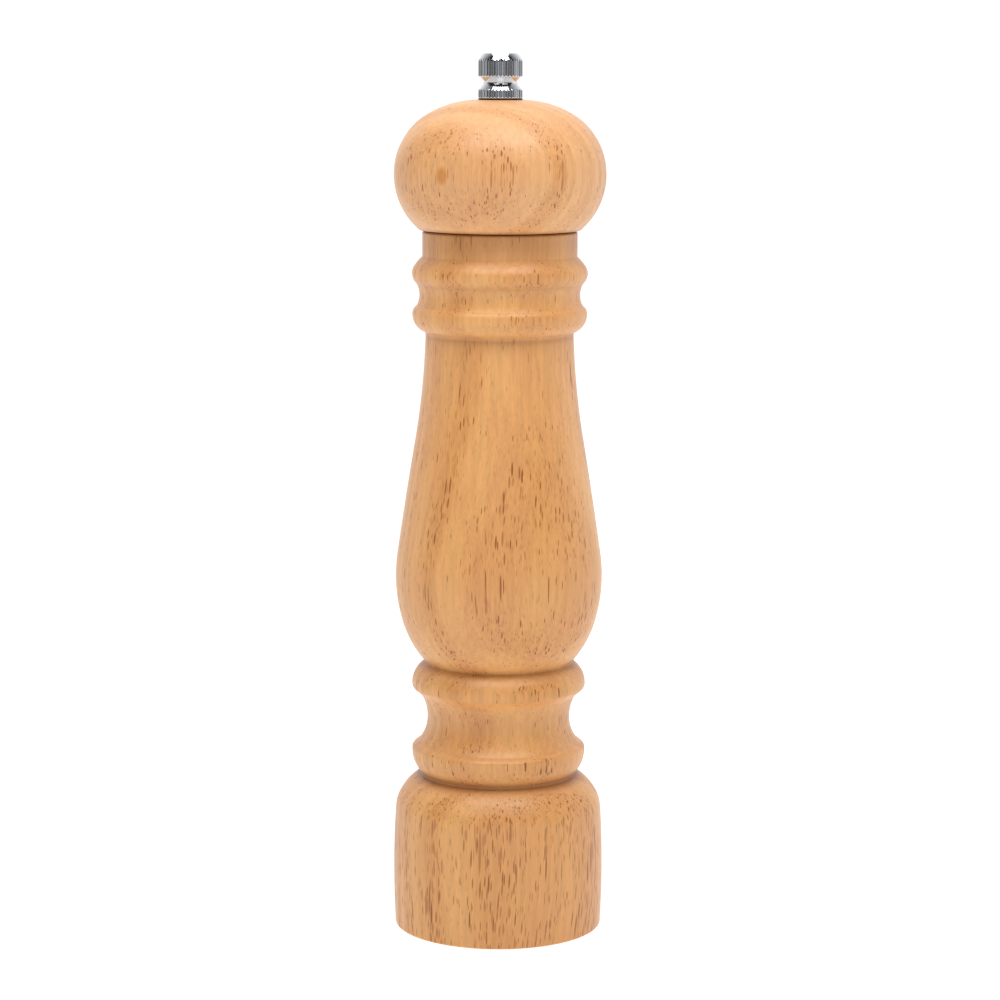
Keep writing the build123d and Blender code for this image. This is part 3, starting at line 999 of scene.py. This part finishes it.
@dataclass
class TurnedHead:
    """The cushion-shaped head with its tenon and spindle bore."""

    radius: float = 30.36
    foot_radius: float = 23.1
    equator_height: float = 15.7
    shoulder_height: float = 16.4
    shoulder_inset: float = 8.4
    land_radius: float = 7.05
    crown_bulge: float = 1.07
    reveal: float = 0.4
    seat_radius: float = 20.6
    seat_gap: float = 0.05
    tenon_radius: float = 13.2
    tenon_edge: float = 0.8
    bore_radius: float = 3.9
    corner: float = 0.22
    spacing: float = 0.5
    sides: int = 192
    # Band of painted shade along the seam over the body's neck
    seam_reach: float = 0.5
    seam_painted_shade: float = 0.6

    def build(self) -> Piece:
        """Turns the two rounds, the crown, the bore and the tenon as one closed section.

        Returns:
            The head.
        """
        tenon_z, top = span("wooden_head")
        neck_top = span("wooden_body")[1]
        foot = neck_top + self.reveal
        seat = neck_top + self.seat_gap
        equator = foot + self.equator_height
        shoulder = equator + self.shoulder_height
        shoulder_radius = self.radius - self.shoulder_inset
        lower = upright_bulge(self.radius - self.foot_radius, self.equator_height)
        upper = upright_bulge(self.shoulder_inset, self.shoulder_height)
        stations = [
            (self.foot_radius, foot, 0.0),
            (self.radius, equator, lower),
            (shoulder_radius, shoulder, upper),
            (self.land_radius, top, self.crown_bulge),
            (self.bore_radius, top, 0.0),
            (self.bore_radius, tenon_z, 0.0),
            (self.tenon_radius - self.tenon_edge, tenon_z, 0.0),
            (self.tenon_radius, tenon_z + self.tenon_edge, 0.0),
            (self.tenon_radius, seat, 0.0),
            (self.seat_radius, seat, 0.0),
            (self.seat_radius, foot, 0.0),
        ]
        section = turned_outline(stations, self.spacing, self.corner)
        piece = lathe("turned_head", section, self.sides)
        # Painted shade along the seam where the head's foot stands over the body's neck
        paint_groove_shade(piece, [(foot, self.seam_reach, self.seam_painted_shade)])
        return piece

    def dress(self, piece: Piece) -> None:
        """Gives the head its wood."""
        fit(piece, "head", "wooden_head", HEAD_WOOD)


# ---- Fastenings ----


@dataclass
class PanScrew:
    """A cross-slotted pan-head wood screw, head down and point up.

    The head's own proportions are shares of its radius and height.
    """

    shank_radius: float
    head_radius: float
    head_height: float
    length: float
    face_radius: float = 0.55
    rim_height: float = 0.35
    dome_bulge: float = 0.15
    face_height: float = 0.3
    pitch: float = 1.1
    thread_depth: float = 0.28
    thread_start: Pair = (1.0, 2.0)
    slot_width: float = 0.6
    slot_depth: float = 0.8
    slot_reach: float = 0.475
    slot_side: float = 0.06
    slot_end: float = 0.1
    point_radius: float = 0.02
    corner: float = 0.1
    spacing: float = 0.1
    sides: int = 72

    def grid(self, x: float, y: float, under_head: float) -> np.ndarray:
        """Points of one screw.

        The section runs from the head's middle over its dome and up the shank to the point. The
        cross is the head's face pushed in where either coordinate is within half a slot width of
        the middle and neither is past the arm's end. The thread takes its depth off the shank
        radius, times a ridge that climbs one pitch in a turn.

        Args:
            x: place of the screw's axis.
            y: place of the screw's axis.
            under_head: height of the head's bearing face.

        Returns:
            Grid for one closed shell.
        """
        shank_top = self.length - 2 * self.shank_radius
        stations = [
            (self.point_radius, -self.head_height, 0.0),
            (self.face_radius * self.head_radius, -self.head_height, 0.0),
            (self.head_radius, -self.rim_height * self.head_height, self.dome_bulge * self.head_height),
            (self.head_radius, 0.0, 0.0),
            (self.shank_radius, 0.0, 0.0),
            (self.shank_radius, shank_top, 0.0),
            (self.point_radius, self.length, 0.0),
        ]
        section = turned_outline(stations, self.spacing, self.corner, closed=False)
        radius, height = section[:, :1], section[:, 1:]
        angle = columns(self.sides)
        winding = height / self.pitch - angle / FULL_TURN
        threaded = smooth_step(height, *self.thread_start) * np.clip(radius / self.shank_radius, 0, 1)
        cut = self.thread_depth * threaded * (1 - triangle_wave(winding))
        grid = around_z(radius - cut, height + under_head, angle)
        half, arm = self.slot_width / 2, self.slot_reach * self.head_radius
        from_middle = np.abs(grid[..., :2])
        past_side = smooth_step(from_middle.min(axis=-1), half - self.slot_side, half + self.slot_side)
        past_end = smooth_step(from_middle.max(axis=-1), arm - self.slot_end, arm + self.slot_end)
        on_face = height < -self.face_height * self.head_height
        grid[..., 2] += self.slot_depth * (1 - past_side) * (1 - past_end) * on_face
        return grid + np.array([x, y, 0.0])


def ring_of_screws(name: str, screw: PanScrew, count: int, circle_radius: float, under_head: float) -> Piece:
    """Makes one object of equal screws evenly round Z, the first one on +X."""
    angle = columns(count)[0]
    places = circle_radius * np.stack([np.cos(angle), np.sin(angle)], axis=1)
    return surface(name, *(screw.grid(x, y, under_head) for x, y in places))


# ---- Burr mill in the foot ----


@dataclass
class BurrMill:
    """Ring burr, bridge, retaining flange and the flange's screws, all held in the body's foot."""

    ring_radius: float = 17.45
    mouth_radius: float = 15.0
    mouth_height: float = 4.0
    mouth_bulge: float = 0.3
    throat_radius: float = 12.5
    cone_height: float = 6.0
    cone_foot_radius: float = 14.5
    ring_teeth: int = 24
    ring_tooth_depth: float = 0.78
    tooth_twist_deg: float = 14.0
    tooth_fade: Pair = (-0.4, 1.0)
    tooth_reach: float = 0.4
    ring_corner: float = 0.15
    ring_spacing: float = 0.4
    ring_sides: int = 288
    flange_inner_radius: float = 15.0
    flange_ring_radius: float = 18.7
    lug_circle_radius: float = 21.0
    lug_radius: float = 3.0
    lugs: int = 3
    flange_edge: float = 0.2
    flange_sides: int = 360
    screw: PanScrew = field(default_factory=lambda: PanScrew(1.4, 2.7, 1.6, 11.0))

    def build_ring_burr(self) -> Piece:
        """Ring burr: a turned section whose cone is cut outward by slanting V grooves.

        A groove's middle turns by the twist from the cone's foot to its throat, and its depth fades
        to nothing at the throat's end.

        Returns:
            The ring burr.
        """
        low, high = span("stator_ring")
        cone_top = low + self.cone_height
        stations = [
            (self.ring_radius, low, 0.0),
            (self.ring_radius, high, 0.0),
            (self.mouth_radius, high, 0.0),
            (self.throat_radius, high - self.mouth_height, self.mouth_bulge),
            (self.throat_radius, cone_top, 0.0),
            (self.cone_foot_radius, low, 0.0),
        ]
        section = turned_outline(stations, self.ring_spacing, self.ring_corner)
        radius, height = section[:, :1], section[:, 1:]
        share = np.clip((height - low) / self.cone_height, 0, 1)
        turned = columns(self.ring_sides) + math.radians(self.tooth_twist_deg) * share
        cut = v_grooves(turned, self.ring_teeth, radius, self.ring_tooth_depth)
        inside = radius < self.cone_foot_radius + self.tooth_reach
        cut = cut * inside * (1 - smooth_step(height - cone_top, *self.tooth_fade))
        return surface("ring_burr", around_z(radius + cut, height, columns(self.ring_sides)), ring=True)

    def build_flange(self) -> Piece:
        """Stamped flange: a ring with three lugs.

        Its rim is the ring's radius or, where the ray at that angle meets a lug's circle, the far
        crossing: circle place times the cosine, plus the root of the lug radius squared less the
        sideways distance squared.

        Returns:
            The flange.
        """
        angle = columns(self.flange_sides)
        offset = from_nearest(angle, self.lugs)
        sideways = self.lug_circle_radius * np.sin(offset)
        reach = np.sqrt(np.clip(self.lug_radius ** 2 - sideways ** 2, 0, None))
        lug = np.where(reach > 0, self.lug_circle_radius * np.cos(offset) + reach, 0)
        rim = np.maximum(lug, self.flange_ring_radius)
        inner, edge = self.flange_inner_radius, self.flange_edge
        return plate("retaining_flange_stamped", "retaining_flange", inner, rim, angle, edge)

    def build_screws(self) -> Piece:
        """The flange's three screws, heads against its underside."""
        under_head = span("retaining_flange")[0]
        return ring_of_screws("flange_pan_screws", self.screw, self.lugs, self.lug_circle_radius, under_head)

    def dress(self, ring: Piece, flange: Piece, screws: Piece) -> None:
        """Hardened steel on the burr and zinc plate on the stampings and screws.

        Args:
            ring: the ring burr.
            flange: the flange.
            screws: the flange's screws.
        """
        fit(ring, "mill_body", "stator_ring", BURR_STEEL)
        fit(flange, "mill_body", "retaining_flange", ZINC_PLATE)
        fit(screws, "mill_body", "flange_screws", ZINC_PLATE)
        dress(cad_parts["spindle_bridge"], ZINC_PLATE)
        log.info("spindle_bridge keeps its own mesh")


# ---- Spindle train ----


@dataclass
class SpindleTrain:
    """The square spindle with its thread, the cone burr, the washers, the clip and the spring."""

    size: float = 5.0
    round_radius: float = 2.4
    clip_groove_radius: float = 1.85
    clip_clearance: float = 0.05
    thread_length: float = 24.0
    thread_pitch: float = 0.8
    thread_depth: float = 0.4
    spindle_sides: int = 64
    cone_throat_radius: float = 12.22
    cone_foot_radius: float = 14.55
    cone_top_radius: float = 6.6
    cone_top_height: float = 5.5
    crown_hollow: float = 0.4
    recess_radius: float = 5.2
    recess_depth: float = 2.0
    square_hole: float = 5.1
    square_fade: float = 1.2
    fine_teeth: int = 30
    fine_depth: float = 0.56
    fine_fade: Pair = (-0.2, 0.6)
    fine_reach: float = 0.3
    coarse_teeth: int = 6
    coarse_depth: float = 1.7
    coarse_fade: Pair = (-1.2, 0.4)
    coarse_reach: float = 2.2
    twist_deg: float = 14.0
    cone_corner: float = 0.12
    cone_spacing: float = 0.35
    cone_sides: int = 360
    coil_radius: float = 5.6
    wire_radius: float = 0.5
    coil_turns: float = 4.0
    coil_crowding: float = 0.6
    coil_rows: int = 241
    wire_sides: int = 16
    clip_radius: float = 3.9
    clip_mouth: float = 3.0
    clip_mouth_round: float = 0.12
    clip_lug_height: float = 0.75
    clip_edge: float = 0.08
    clip_rows: int = 120
    loose_hole: float = 3.3
    close_hole: float = 2.5
    washer_edge: float = 0.12

    def build_spindle(self) -> Piece:
        """Spindle: round stub with the clip's groove, square bar, threaded tip.

        The radius at each height and angle is the stretch's own radius, times the squared-off
        outline on the bar, less the thread's depth times a ridge that climbs one pitch in a turn.
        A stretch is its radii, its heights, its rows, and how square and how threaded it is.

        Returns:
            The spindle.
        """
        low, high = span("square_spindle")
        bar_low = span("rotor_washer")[1]
        bar_high = high - self.thread_length
        clip_low, clip_high = span("retaining_clip")
        half = self.size / 2
        gap = self.clip_clearance
        thread_rows = int(self.thread_length / self.thread_pitch * 10)
        stretches = [
            (0.05, 0.05, low, low, 2, 0.0, 0.0),
            (self.round_radius - 0.2, self.round_radius, low, low + 0.2, 3, 0.0, 0.0),
            (self.round_radius, self.round_radius, low + 0.25, clip_low - gap, 3, 0.0, 0.0),
            (self.clip_groove_radius, self.clip_groove_radius, clip_low - gap, clip_high + gap, 3, 0.0, 0.0),
            (self.round_radius, self.round_radius, clip_high + gap, bar_low, 3, 0.0, 0.0),
            (half, half, bar_low, bar_high, 60, 1.0, 0.0),
            (half, half, bar_high + 0.02, high - 0.5, thread_rows, 0.0, 1.0),
            (half - 0.05, half - 0.45, high - 0.45, high, 4, 0.0, 0.6),
            (0.05, 0.05, high, high, 2, 0.0, 0.0),
        ]
        section = np.concatenate([
            np.linspace((r_low, z_low, square, thread), (r_high, z_high, square, thread), rows)
            for r_low, r_high, z_low, z_high, rows, square, thread in stretches
        ])
        radius, height, square, thread = section.T[..., None]
        angle = columns(self.spindle_sides)
        outline = 1 + square * (squareness(angle) - 1)
        winding = height / self.thread_pitch - angle / FULL_TURN
        cut = self.thread_depth * thread * (1 - triangle_wave(winding))
        return surface("spindle_bar", around_z(radius * outline - cut, height, angle))

    def build_cone(self) -> Piece:
        """Cone burr: a turned section cut inward by fine grooves on the cone and six coarse ones on
        the crown, both twisted with height, round a square hole.

        Returns:
            The cone burr.
        """
        low, high = span("rotor")
        throat = high - self.cone_top_height
        ceiling = low + self.recess_depth
        stations = [
            (self.recess_radius, low, 0.0),
            (self.cone_foot_radius, low, 0.0),
            (self.cone_throat_radius, throat, 0.0),
            (self.cone_top_radius, high, -self.crown_hollow),
            (self.square_hole / 2, high, 0.0),
            (self.square_hole / 2, ceiling, 0.0),
            (self.recess_radius, ceiling, 0.0),
        ]
        section = turned_outline(stations, self.cone_spacing, self.cone_corner)
        radius, height = section[:, :1], section[:, 1:]
        angle = columns(self.cone_sides)
        twist = math.radians(self.twist_deg)
        up_cone = np.clip((height - low) / (throat - low), 0, 1)
        up_crown = np.clip((height - throat) / (high - throat), 0, 1)
        fine = v_grooves(angle - twist * up_cone, self.fine_teeth, radius, self.fine_depth)
        outside = radius > self.cone_top_radius - self.fine_reach
        fine = fine * outside * (1 - smooth_step(height - throat, *self.fine_fade))
        turned = angle - twist - 2 * twist * up_crown
        coarse = v_grooves(turned, self.coarse_teeth, radius, self.coarse_depth)
        on_crown = radius > self.cone_top_radius - self.coarse_reach
        coarse = coarse * on_crown * smooth_step(height - throat, *self.coarse_fade)
        in_hole = smooth_step(self.square_hole / 2 - radius, -self.square_fade, 0)
        in_hole = in_hole * (height > ceiling - 0.2)
        outline = 1 + in_hole * (squareness(angle) - 1)
        return surface("cone_burr", around_z(radius * outline - fine - coarse, height, angle), ring=True)

    def build_washer(self, name: str, node: str, hole: float) -> Piece:
        """A flat washer with rounded edges in the place of its CAD node.

        Args:
            name: name of the object.
            node: its CAD node.
            hole: radius of its hole.

        Returns:
            The washer.
        """
        return plate(name, node, hole, half_width(node), columns(WASHER_SIDES), self.washer_edge)

    def build_clip(self) -> Piece:
        """E-clip: a plate section carried round from one side of the mouth to the other.

        Its inner edge is the groove radius at three lugs and wider between them, by the square of
        the sine of one and a half times the angle from the mouth.

        Returns:
            The clip.
        """
        low, high = span("retaining_clip")
        mouth = math.asin(self.clip_mouth / 2 / self.clip_radius) + self.clip_mouth_round
        angle = np.linspace(mouth, FULL_TURN - mouth, self.clip_rows)[None, :]
        lugs = self.clip_groove_radius + self.clip_clearance
        inner = lugs + self.clip_lug_height * np.sin(1.5 * (angle - mouth)) ** 2
        grid = plate_grid(inner, self.clip_radius, low, high, angle, self.clip_edge)
        return surface("e_clip", grid.transpose(1, 0, 2))

    def build_spring(self) -> Piece:
        """Compression spring: a round wire carried up a helix.

        Height goes with the turned angle less a sine of it, so that the coils lie closer at both
        ends; the wire's circle stands across the helix.

        Returns:
            The spring.
        """
        low, high = span("grind_spring")
        start, end = low + self.wire_radius, high - self.wire_radius
        share = np.linspace(0, 1, self.coil_rows)[:, None]
        turn = share * self.coil_turns * FULL_TURN
        crowding = self.coil_crowding * np.sin(FULL_TURN * share) / FULL_TURN
        height = start + (end - start) * (share - crowding)
        around = columns(self.wire_sides)
        radius = self.coil_radius + self.wire_radius * np.cos(around)
        rise = self.wire_radius * np.sin(around)
        return surface("grind_spring_wire", around_z(radius, height + rise, turn))

    def build(self) -> dict[str, Piece]:
        """Builds every piece of the train, by the CAD node that it stands for.

        Returns:
            The pieces by the CAD node that each stands for.
        """
        return {
            "square_spindle": self.build_spindle(),
            "rotor": self.build_cone(),
            "spring_washer": self.build_washer("spring_seat_washer", "spring_washer", self.loose_hole),
            "rotor_washer": self.build_washer("burr_washer", "rotor_washer", self.close_hole),
            "retaining_clip": self.build_clip(),
            "grind_spring": self.build_spring(),
        }

    def dress(self, pieces: dict[str, Piece]) -> None:
        """Finishes the train's pieces; the spring stretches between the spindle and the bridge.

        Args:
            pieces: the pieces by their CAD node.
        """
        finishes = {
            "square_spindle": ALUMINIUM_BAR,
            "rotor": BURR_STEEL,
            "spring_washer": ZINC_PLATE,
            "rotor_washer": ZINC_PLATE,
            "retaining_clip": BLACK_OXIDE_AND_SHADE,
        }
        for node, finish in finishes.items():
            fit(pieces[node], "spindle", node, finish)
        spring = pieces["grind_spring"]
        dress(spring, SPRING_WIRE)
        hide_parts("grind_spring")
        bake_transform(spring)
        log.info("%s stretches between spindle and spring", spring.name)


# ---- Drive plate ----


@dataclass
class DrivePlate:
    """Stamped plate with a square hole under the head's tenon, and its two screws."""

    hole: float = 5.2
    screws: int = 2
    screw_circle_radius: float = 7.6
    edge: float = 0.2
    sides: int = 192
    screw: PanScrew = field(default_factory=lambda: PanScrew(1.2, 2.2, 1.3, 9.0))

    def build(self) -> tuple[Piece, Piece]:
        """The plate, whose hole follows the squared-off outline, and the screws.

        Returns:
            The plate and its screws.
        """
        angle = columns(self.sides)
        inner, outer = self.hole / 2 * squareness(angle), half_width("drive_plate")
        stamping = plate("drive_plate_stamped", "drive_plate", inner, outer, angle, self.edge)
        under_head = span("drive_plate")[0]
        circle = self.screw_circle_radius
        return stamping, ring_of_screws("drive_pan_screws", self.screw, self.screws, circle, under_head)

    def dress(self, stamping: Piece, screws: Piece) -> None:
        """Zinc plate on both."""
        fit(stamping, "head", "drive_plate", ZINC_PLATE)
        fit(screws, "head", "drive_plate_screws", ZINC_PLATE)


# ---- Top nut ----


@dataclass
class TopNut:
    """The knurled nut: two fluted bands, a waist between them and a lobed crown, over a near-black washer
    that is painted contact shadow under the nut.
    """

    radius: float = 6.35
    edge: float = 0.25
    waist_radius: float = 4.85
    lower_band: float = 2.3
    lower_taper: float = 1.9
    waist_height: float = 0.6
    upper_taper: float = 1.5
    upper_band: float = 4.2
    crown_radius: float = 4.9
    crown_rise: float = 0.3
    crown_flat: float = 1.5
    crown_bulge: float = 0.15
    bore_radius: float = 2.55
    bore_depth: float = 10.8
    bore_point: float = 1.0
    flutes: int = 36
    flute_depth: float = 0.354
    lobes: int = 4
    lobe_depth: float = 0.5
    centre_radius: float = 0.04
    corner: float = 0.14
    spacing: float = 0.16
    sides: int = 504
    washer_hole: float = 2.8
    washer_edge: float = 0.08

    def build(self) -> Piece:
        """Nut: a turned section held inside the fluted radius and under the lobed crown.

        The fluted radius is the nut's radius less V grooves. The crown's height is the lower of the
        section's and that of a round-bottomed dip along each of the four directions: the dip's
        axis height less the root of its radius squared less the sideways distance squared.

        Returns:
            The nut.
        """
        low, high = span("top_nut")
        band_low = low + self.lower_band + self.lower_taper + self.waist_height + self.upper_taper
        stations = [
            (self.centre_radius, low + self.bore_depth, 0.0),
            (self.bore_radius, low + self.bore_depth - self.bore_point, 0.0),
            (self.bore_radius, low, 0.0),
            (self.radius - self.edge, low, 0.0),
            (self.radius, low + self.edge, 0.0),
            (self.radius, low + self.lower_band, 0.0),
            (self.waist_radius, low + self.lower_band + self.lower_taper, 0.0),
            (self.waist_radius, band_low - self.upper_taper, 0.0),
            (self.radius, band_low, 0.0),
            (self.radius, band_low + self.upper_band, 0.0),
            (self.crown_radius, high - self.crown_rise, self.crown_bulge),
            (self.crown_flat, high, 0.0),
            (self.centre_radius, high, 0.0),
        ]
        section = turned_outline(stations, self.spacing, self.corner, closed=False)
        radius, height = section[:, :1], section[:, 1:]
        angle = columns(self.sides)
        flutes = self.radius - v_grooves(angle, self.flutes, self.radius, self.flute_depth)
        radius = np.minimum(radius, flutes)
        dip_radius = 2 * self.lobe_depth + self.crown_radius / 2
        sideways = np.clip(np.abs(radius * np.sin(from_nearest(angle, self.lobes))), 0, dip_radius)
        dip = high + dip_radius - self.lobe_depth - np.sqrt(dip_radius ** 2 - sideways ** 2)
        on_crown = height > band_low + 0.5 * self.upper_band
        height = np.where(on_crown, np.minimum(height, dip), height)
        return surface("knurled_nut", around_z(radius, height, angle))

    def build_washer(self) -> Piece:
        """The thin washer between the nut and the head's land; its near-black is painted contact shadow under
        the nut.
        """
        outer, angle = half_width("nut_washer"), columns(WASHER_SIDES)
        return plate("nut_washer_painted_shade", "nut_washer", self.washer_hole, outer, angle, self.washer_edge)

    def dress(self, nut: Piece, washer: Piece) -> None:
        """Chrome plate on the nut, black oxide on the washer as painted contact shadow under the nut."""
        fit(nut, "nut", "top_nut", CHROME_PLATE)
        fit(washer, "washer", "nut_washer", BLACK_OXIDE_AND_SHADE)


# ---- Studio ----


@dataclass
class Softbox:
    """A large soft light on the circle round the mill; azimuth 0 is the camera's side."""

    name: str
    azimuth_deg: float
    elevation_deg: float
    distance: float
    width: float
    height: float
    power: float

    def build(self, aim: Vector) -> None:
        """Places the light and turns it to its aim.

        Args:
            aim: point that the light faces, in metres.
        """
        light = bpy.data.lights.new(self.name, "AREA")
        light.shape = "RECTANGLE"
        light.size, light.size_y = self.width, self.height
        light.energy = self.power
        lamp = bpy.data.objects.new(self.name, light)
        azimuth, elevation = math.radians(self.azimuth_deg), math.radians(self.elevation_deg)
        level = math.cos(elevation)
        away = Vector((math.sin(azimuth) * level, -math.cos(azimuth) * level, math.sin(elevation)))
        lamp.location = aim + away * self.distance
        lamp.rotation_mode = "QUATERNION"
        lamp.rotation_quaternion = away.to_track_quat("Z", "Y")
        bpy.context.scene.collection.objects.link(lamp)


@dataclass
class Studio:
    """Pale floor, soft light round the mill and the camera; lengths here are metres."""

    camera_place: tuple[float, float, float] = (0.00026, -0.863, 0.25418)
    pitch_deg: float = 8.47
    roll_deg: float = 0.19
    focal_length_mm: float = 108.36
    sensor_width_mm: float = 36.0
    view_reach: float = 20.0
    floor_radius_mm: float = 6000.0
    floor_drop_mm: float = 0.2
    floor_thickness_mm: float = 5.0
    floor_sides: int = 96
    surround_run: Pair = (-0.1, 0.85)
    surround_strength: Pair = (0.04, 1.05)
    softboxes: tuple[Softbox, ...] = (
        Softbox("softbox_ceiling", 0.0, 85.0, 0.7, 0.6, 0.6, 2.0),
        Softbox("softbox_above_right", 37.0, 59.0, 0.9, 0.4, 0.34, 3.0),
        Softbox("softbox_above_left", -33.0, 59.0, 0.9, 0.4, 0.34, 2.8),
        Softbox("softbox_right", 104.0, 4.0, 0.8, 0.6, 0.9, 0.95),
        Softbox("softbox_left", -112.0, 4.0, 0.8, 0.3, 0.9, 0.3),
        Softbox("softbox_front", 0.0, -3.0, 1.0, 0.9, 0.7, 0.95),
    )

    def build_floor(self) -> None:
        """A round, pale floor just under the foot."""
        edge, top = self.floor_radius_mm, -self.floor_drop_mm
        under = top - self.floor_thickness_mm
        section = np.array([(0.1, top), (edge / 8, top), (edge, top), (edge, under), (0.1, under)])
        floor = lathe("floor", section, self.floor_sides)
        floor.data.materials.append(FLOOR_PAINT.material())

    def build_world(self) -> None:
        """A white surround behind the mill that fades to near black behind the camera."""
        world = bpy.data.worlds.new("surround")
        world.use_nodes = True
        tree = world.node_tree
        tree.nodes.clear()
        toward = add_node(tree, "ShaderNodeTexCoord").outputs["Generated"]
        backward = add_node(tree, "ShaderNodeSeparateXYZ", {0: toward}).outputs[1]
        strength = remap(tree, backward, self.surround_run, self.surround_strength)
        surround = add_node(tree, "ShaderNodeBackground", {"Color": linear("#ffffff"), "Strength": strength})
        add_node(tree, "ShaderNodeOutputWorld", {"Surface": surround.outputs[0]})
        bpy.context.scene.world = world

    def build_camera(self) -> None:
        """Camera in front of the mill, level with its top and looking a little down."""
        camera = bpy.data.objects.new("camera", bpy.data.cameras.new("camera"))
        camera.data.lens = self.focal_length_mm
        camera.data.sensor_width = self.sensor_width_mm
        camera.data.clip_end = self.view_reach
        camera.location = self.camera_place
        tilt = Matrix.Rotation(math.radians(90 - self.pitch_deg), 4, "X")
        roll = Matrix.Rotation(math.radians(self.roll_deg), 4, "Z")
        camera.rotation_mode = "QUATERNION"
        camera.rotation_quaternion = (tilt @ roll).to_quaternion()
        bpy.context.scene.collection.objects.link(camera)
        bpy.context.scene.camera = camera

    def build(self) -> None:
        """Builds the whole studio."""
        bpy.context.scene.view_settings.view_transform = "Standard"
        self.build_floor()
        self.build_world()
        low, high = CAD_BOX
        middle = (Vector(low) + Vector(high)) / 2
        for softbox in self.softboxes:
            softbox.build(middle)
        self.build_camera()
        log.info("studio with %d softboxes", len(self.softboxes))


def main() -> None:
    """Builds each sub-assembly in order, then the studio."""
    logging.basicConfig(level=logging.INFO, format="%(name)s: %(message)s")
    body = TurnedBody()
    body.dress(body.build())
    head = TurnedHead()
    head.dress(head.build())
    mill = BurrMill()
    mill.dress(mill.build_ring_burr(), mill.build_flange(), mill.build_screws())
    train = SpindleTrain()
    train.dress(train.build())
    drive = DrivePlate()
    drive.dress(*drive.build())
    nut = TopNut()
    nut.dress(nut.build(), nut.build_washer())
    Studio().build()


if __name__ == "__main__":
    main()
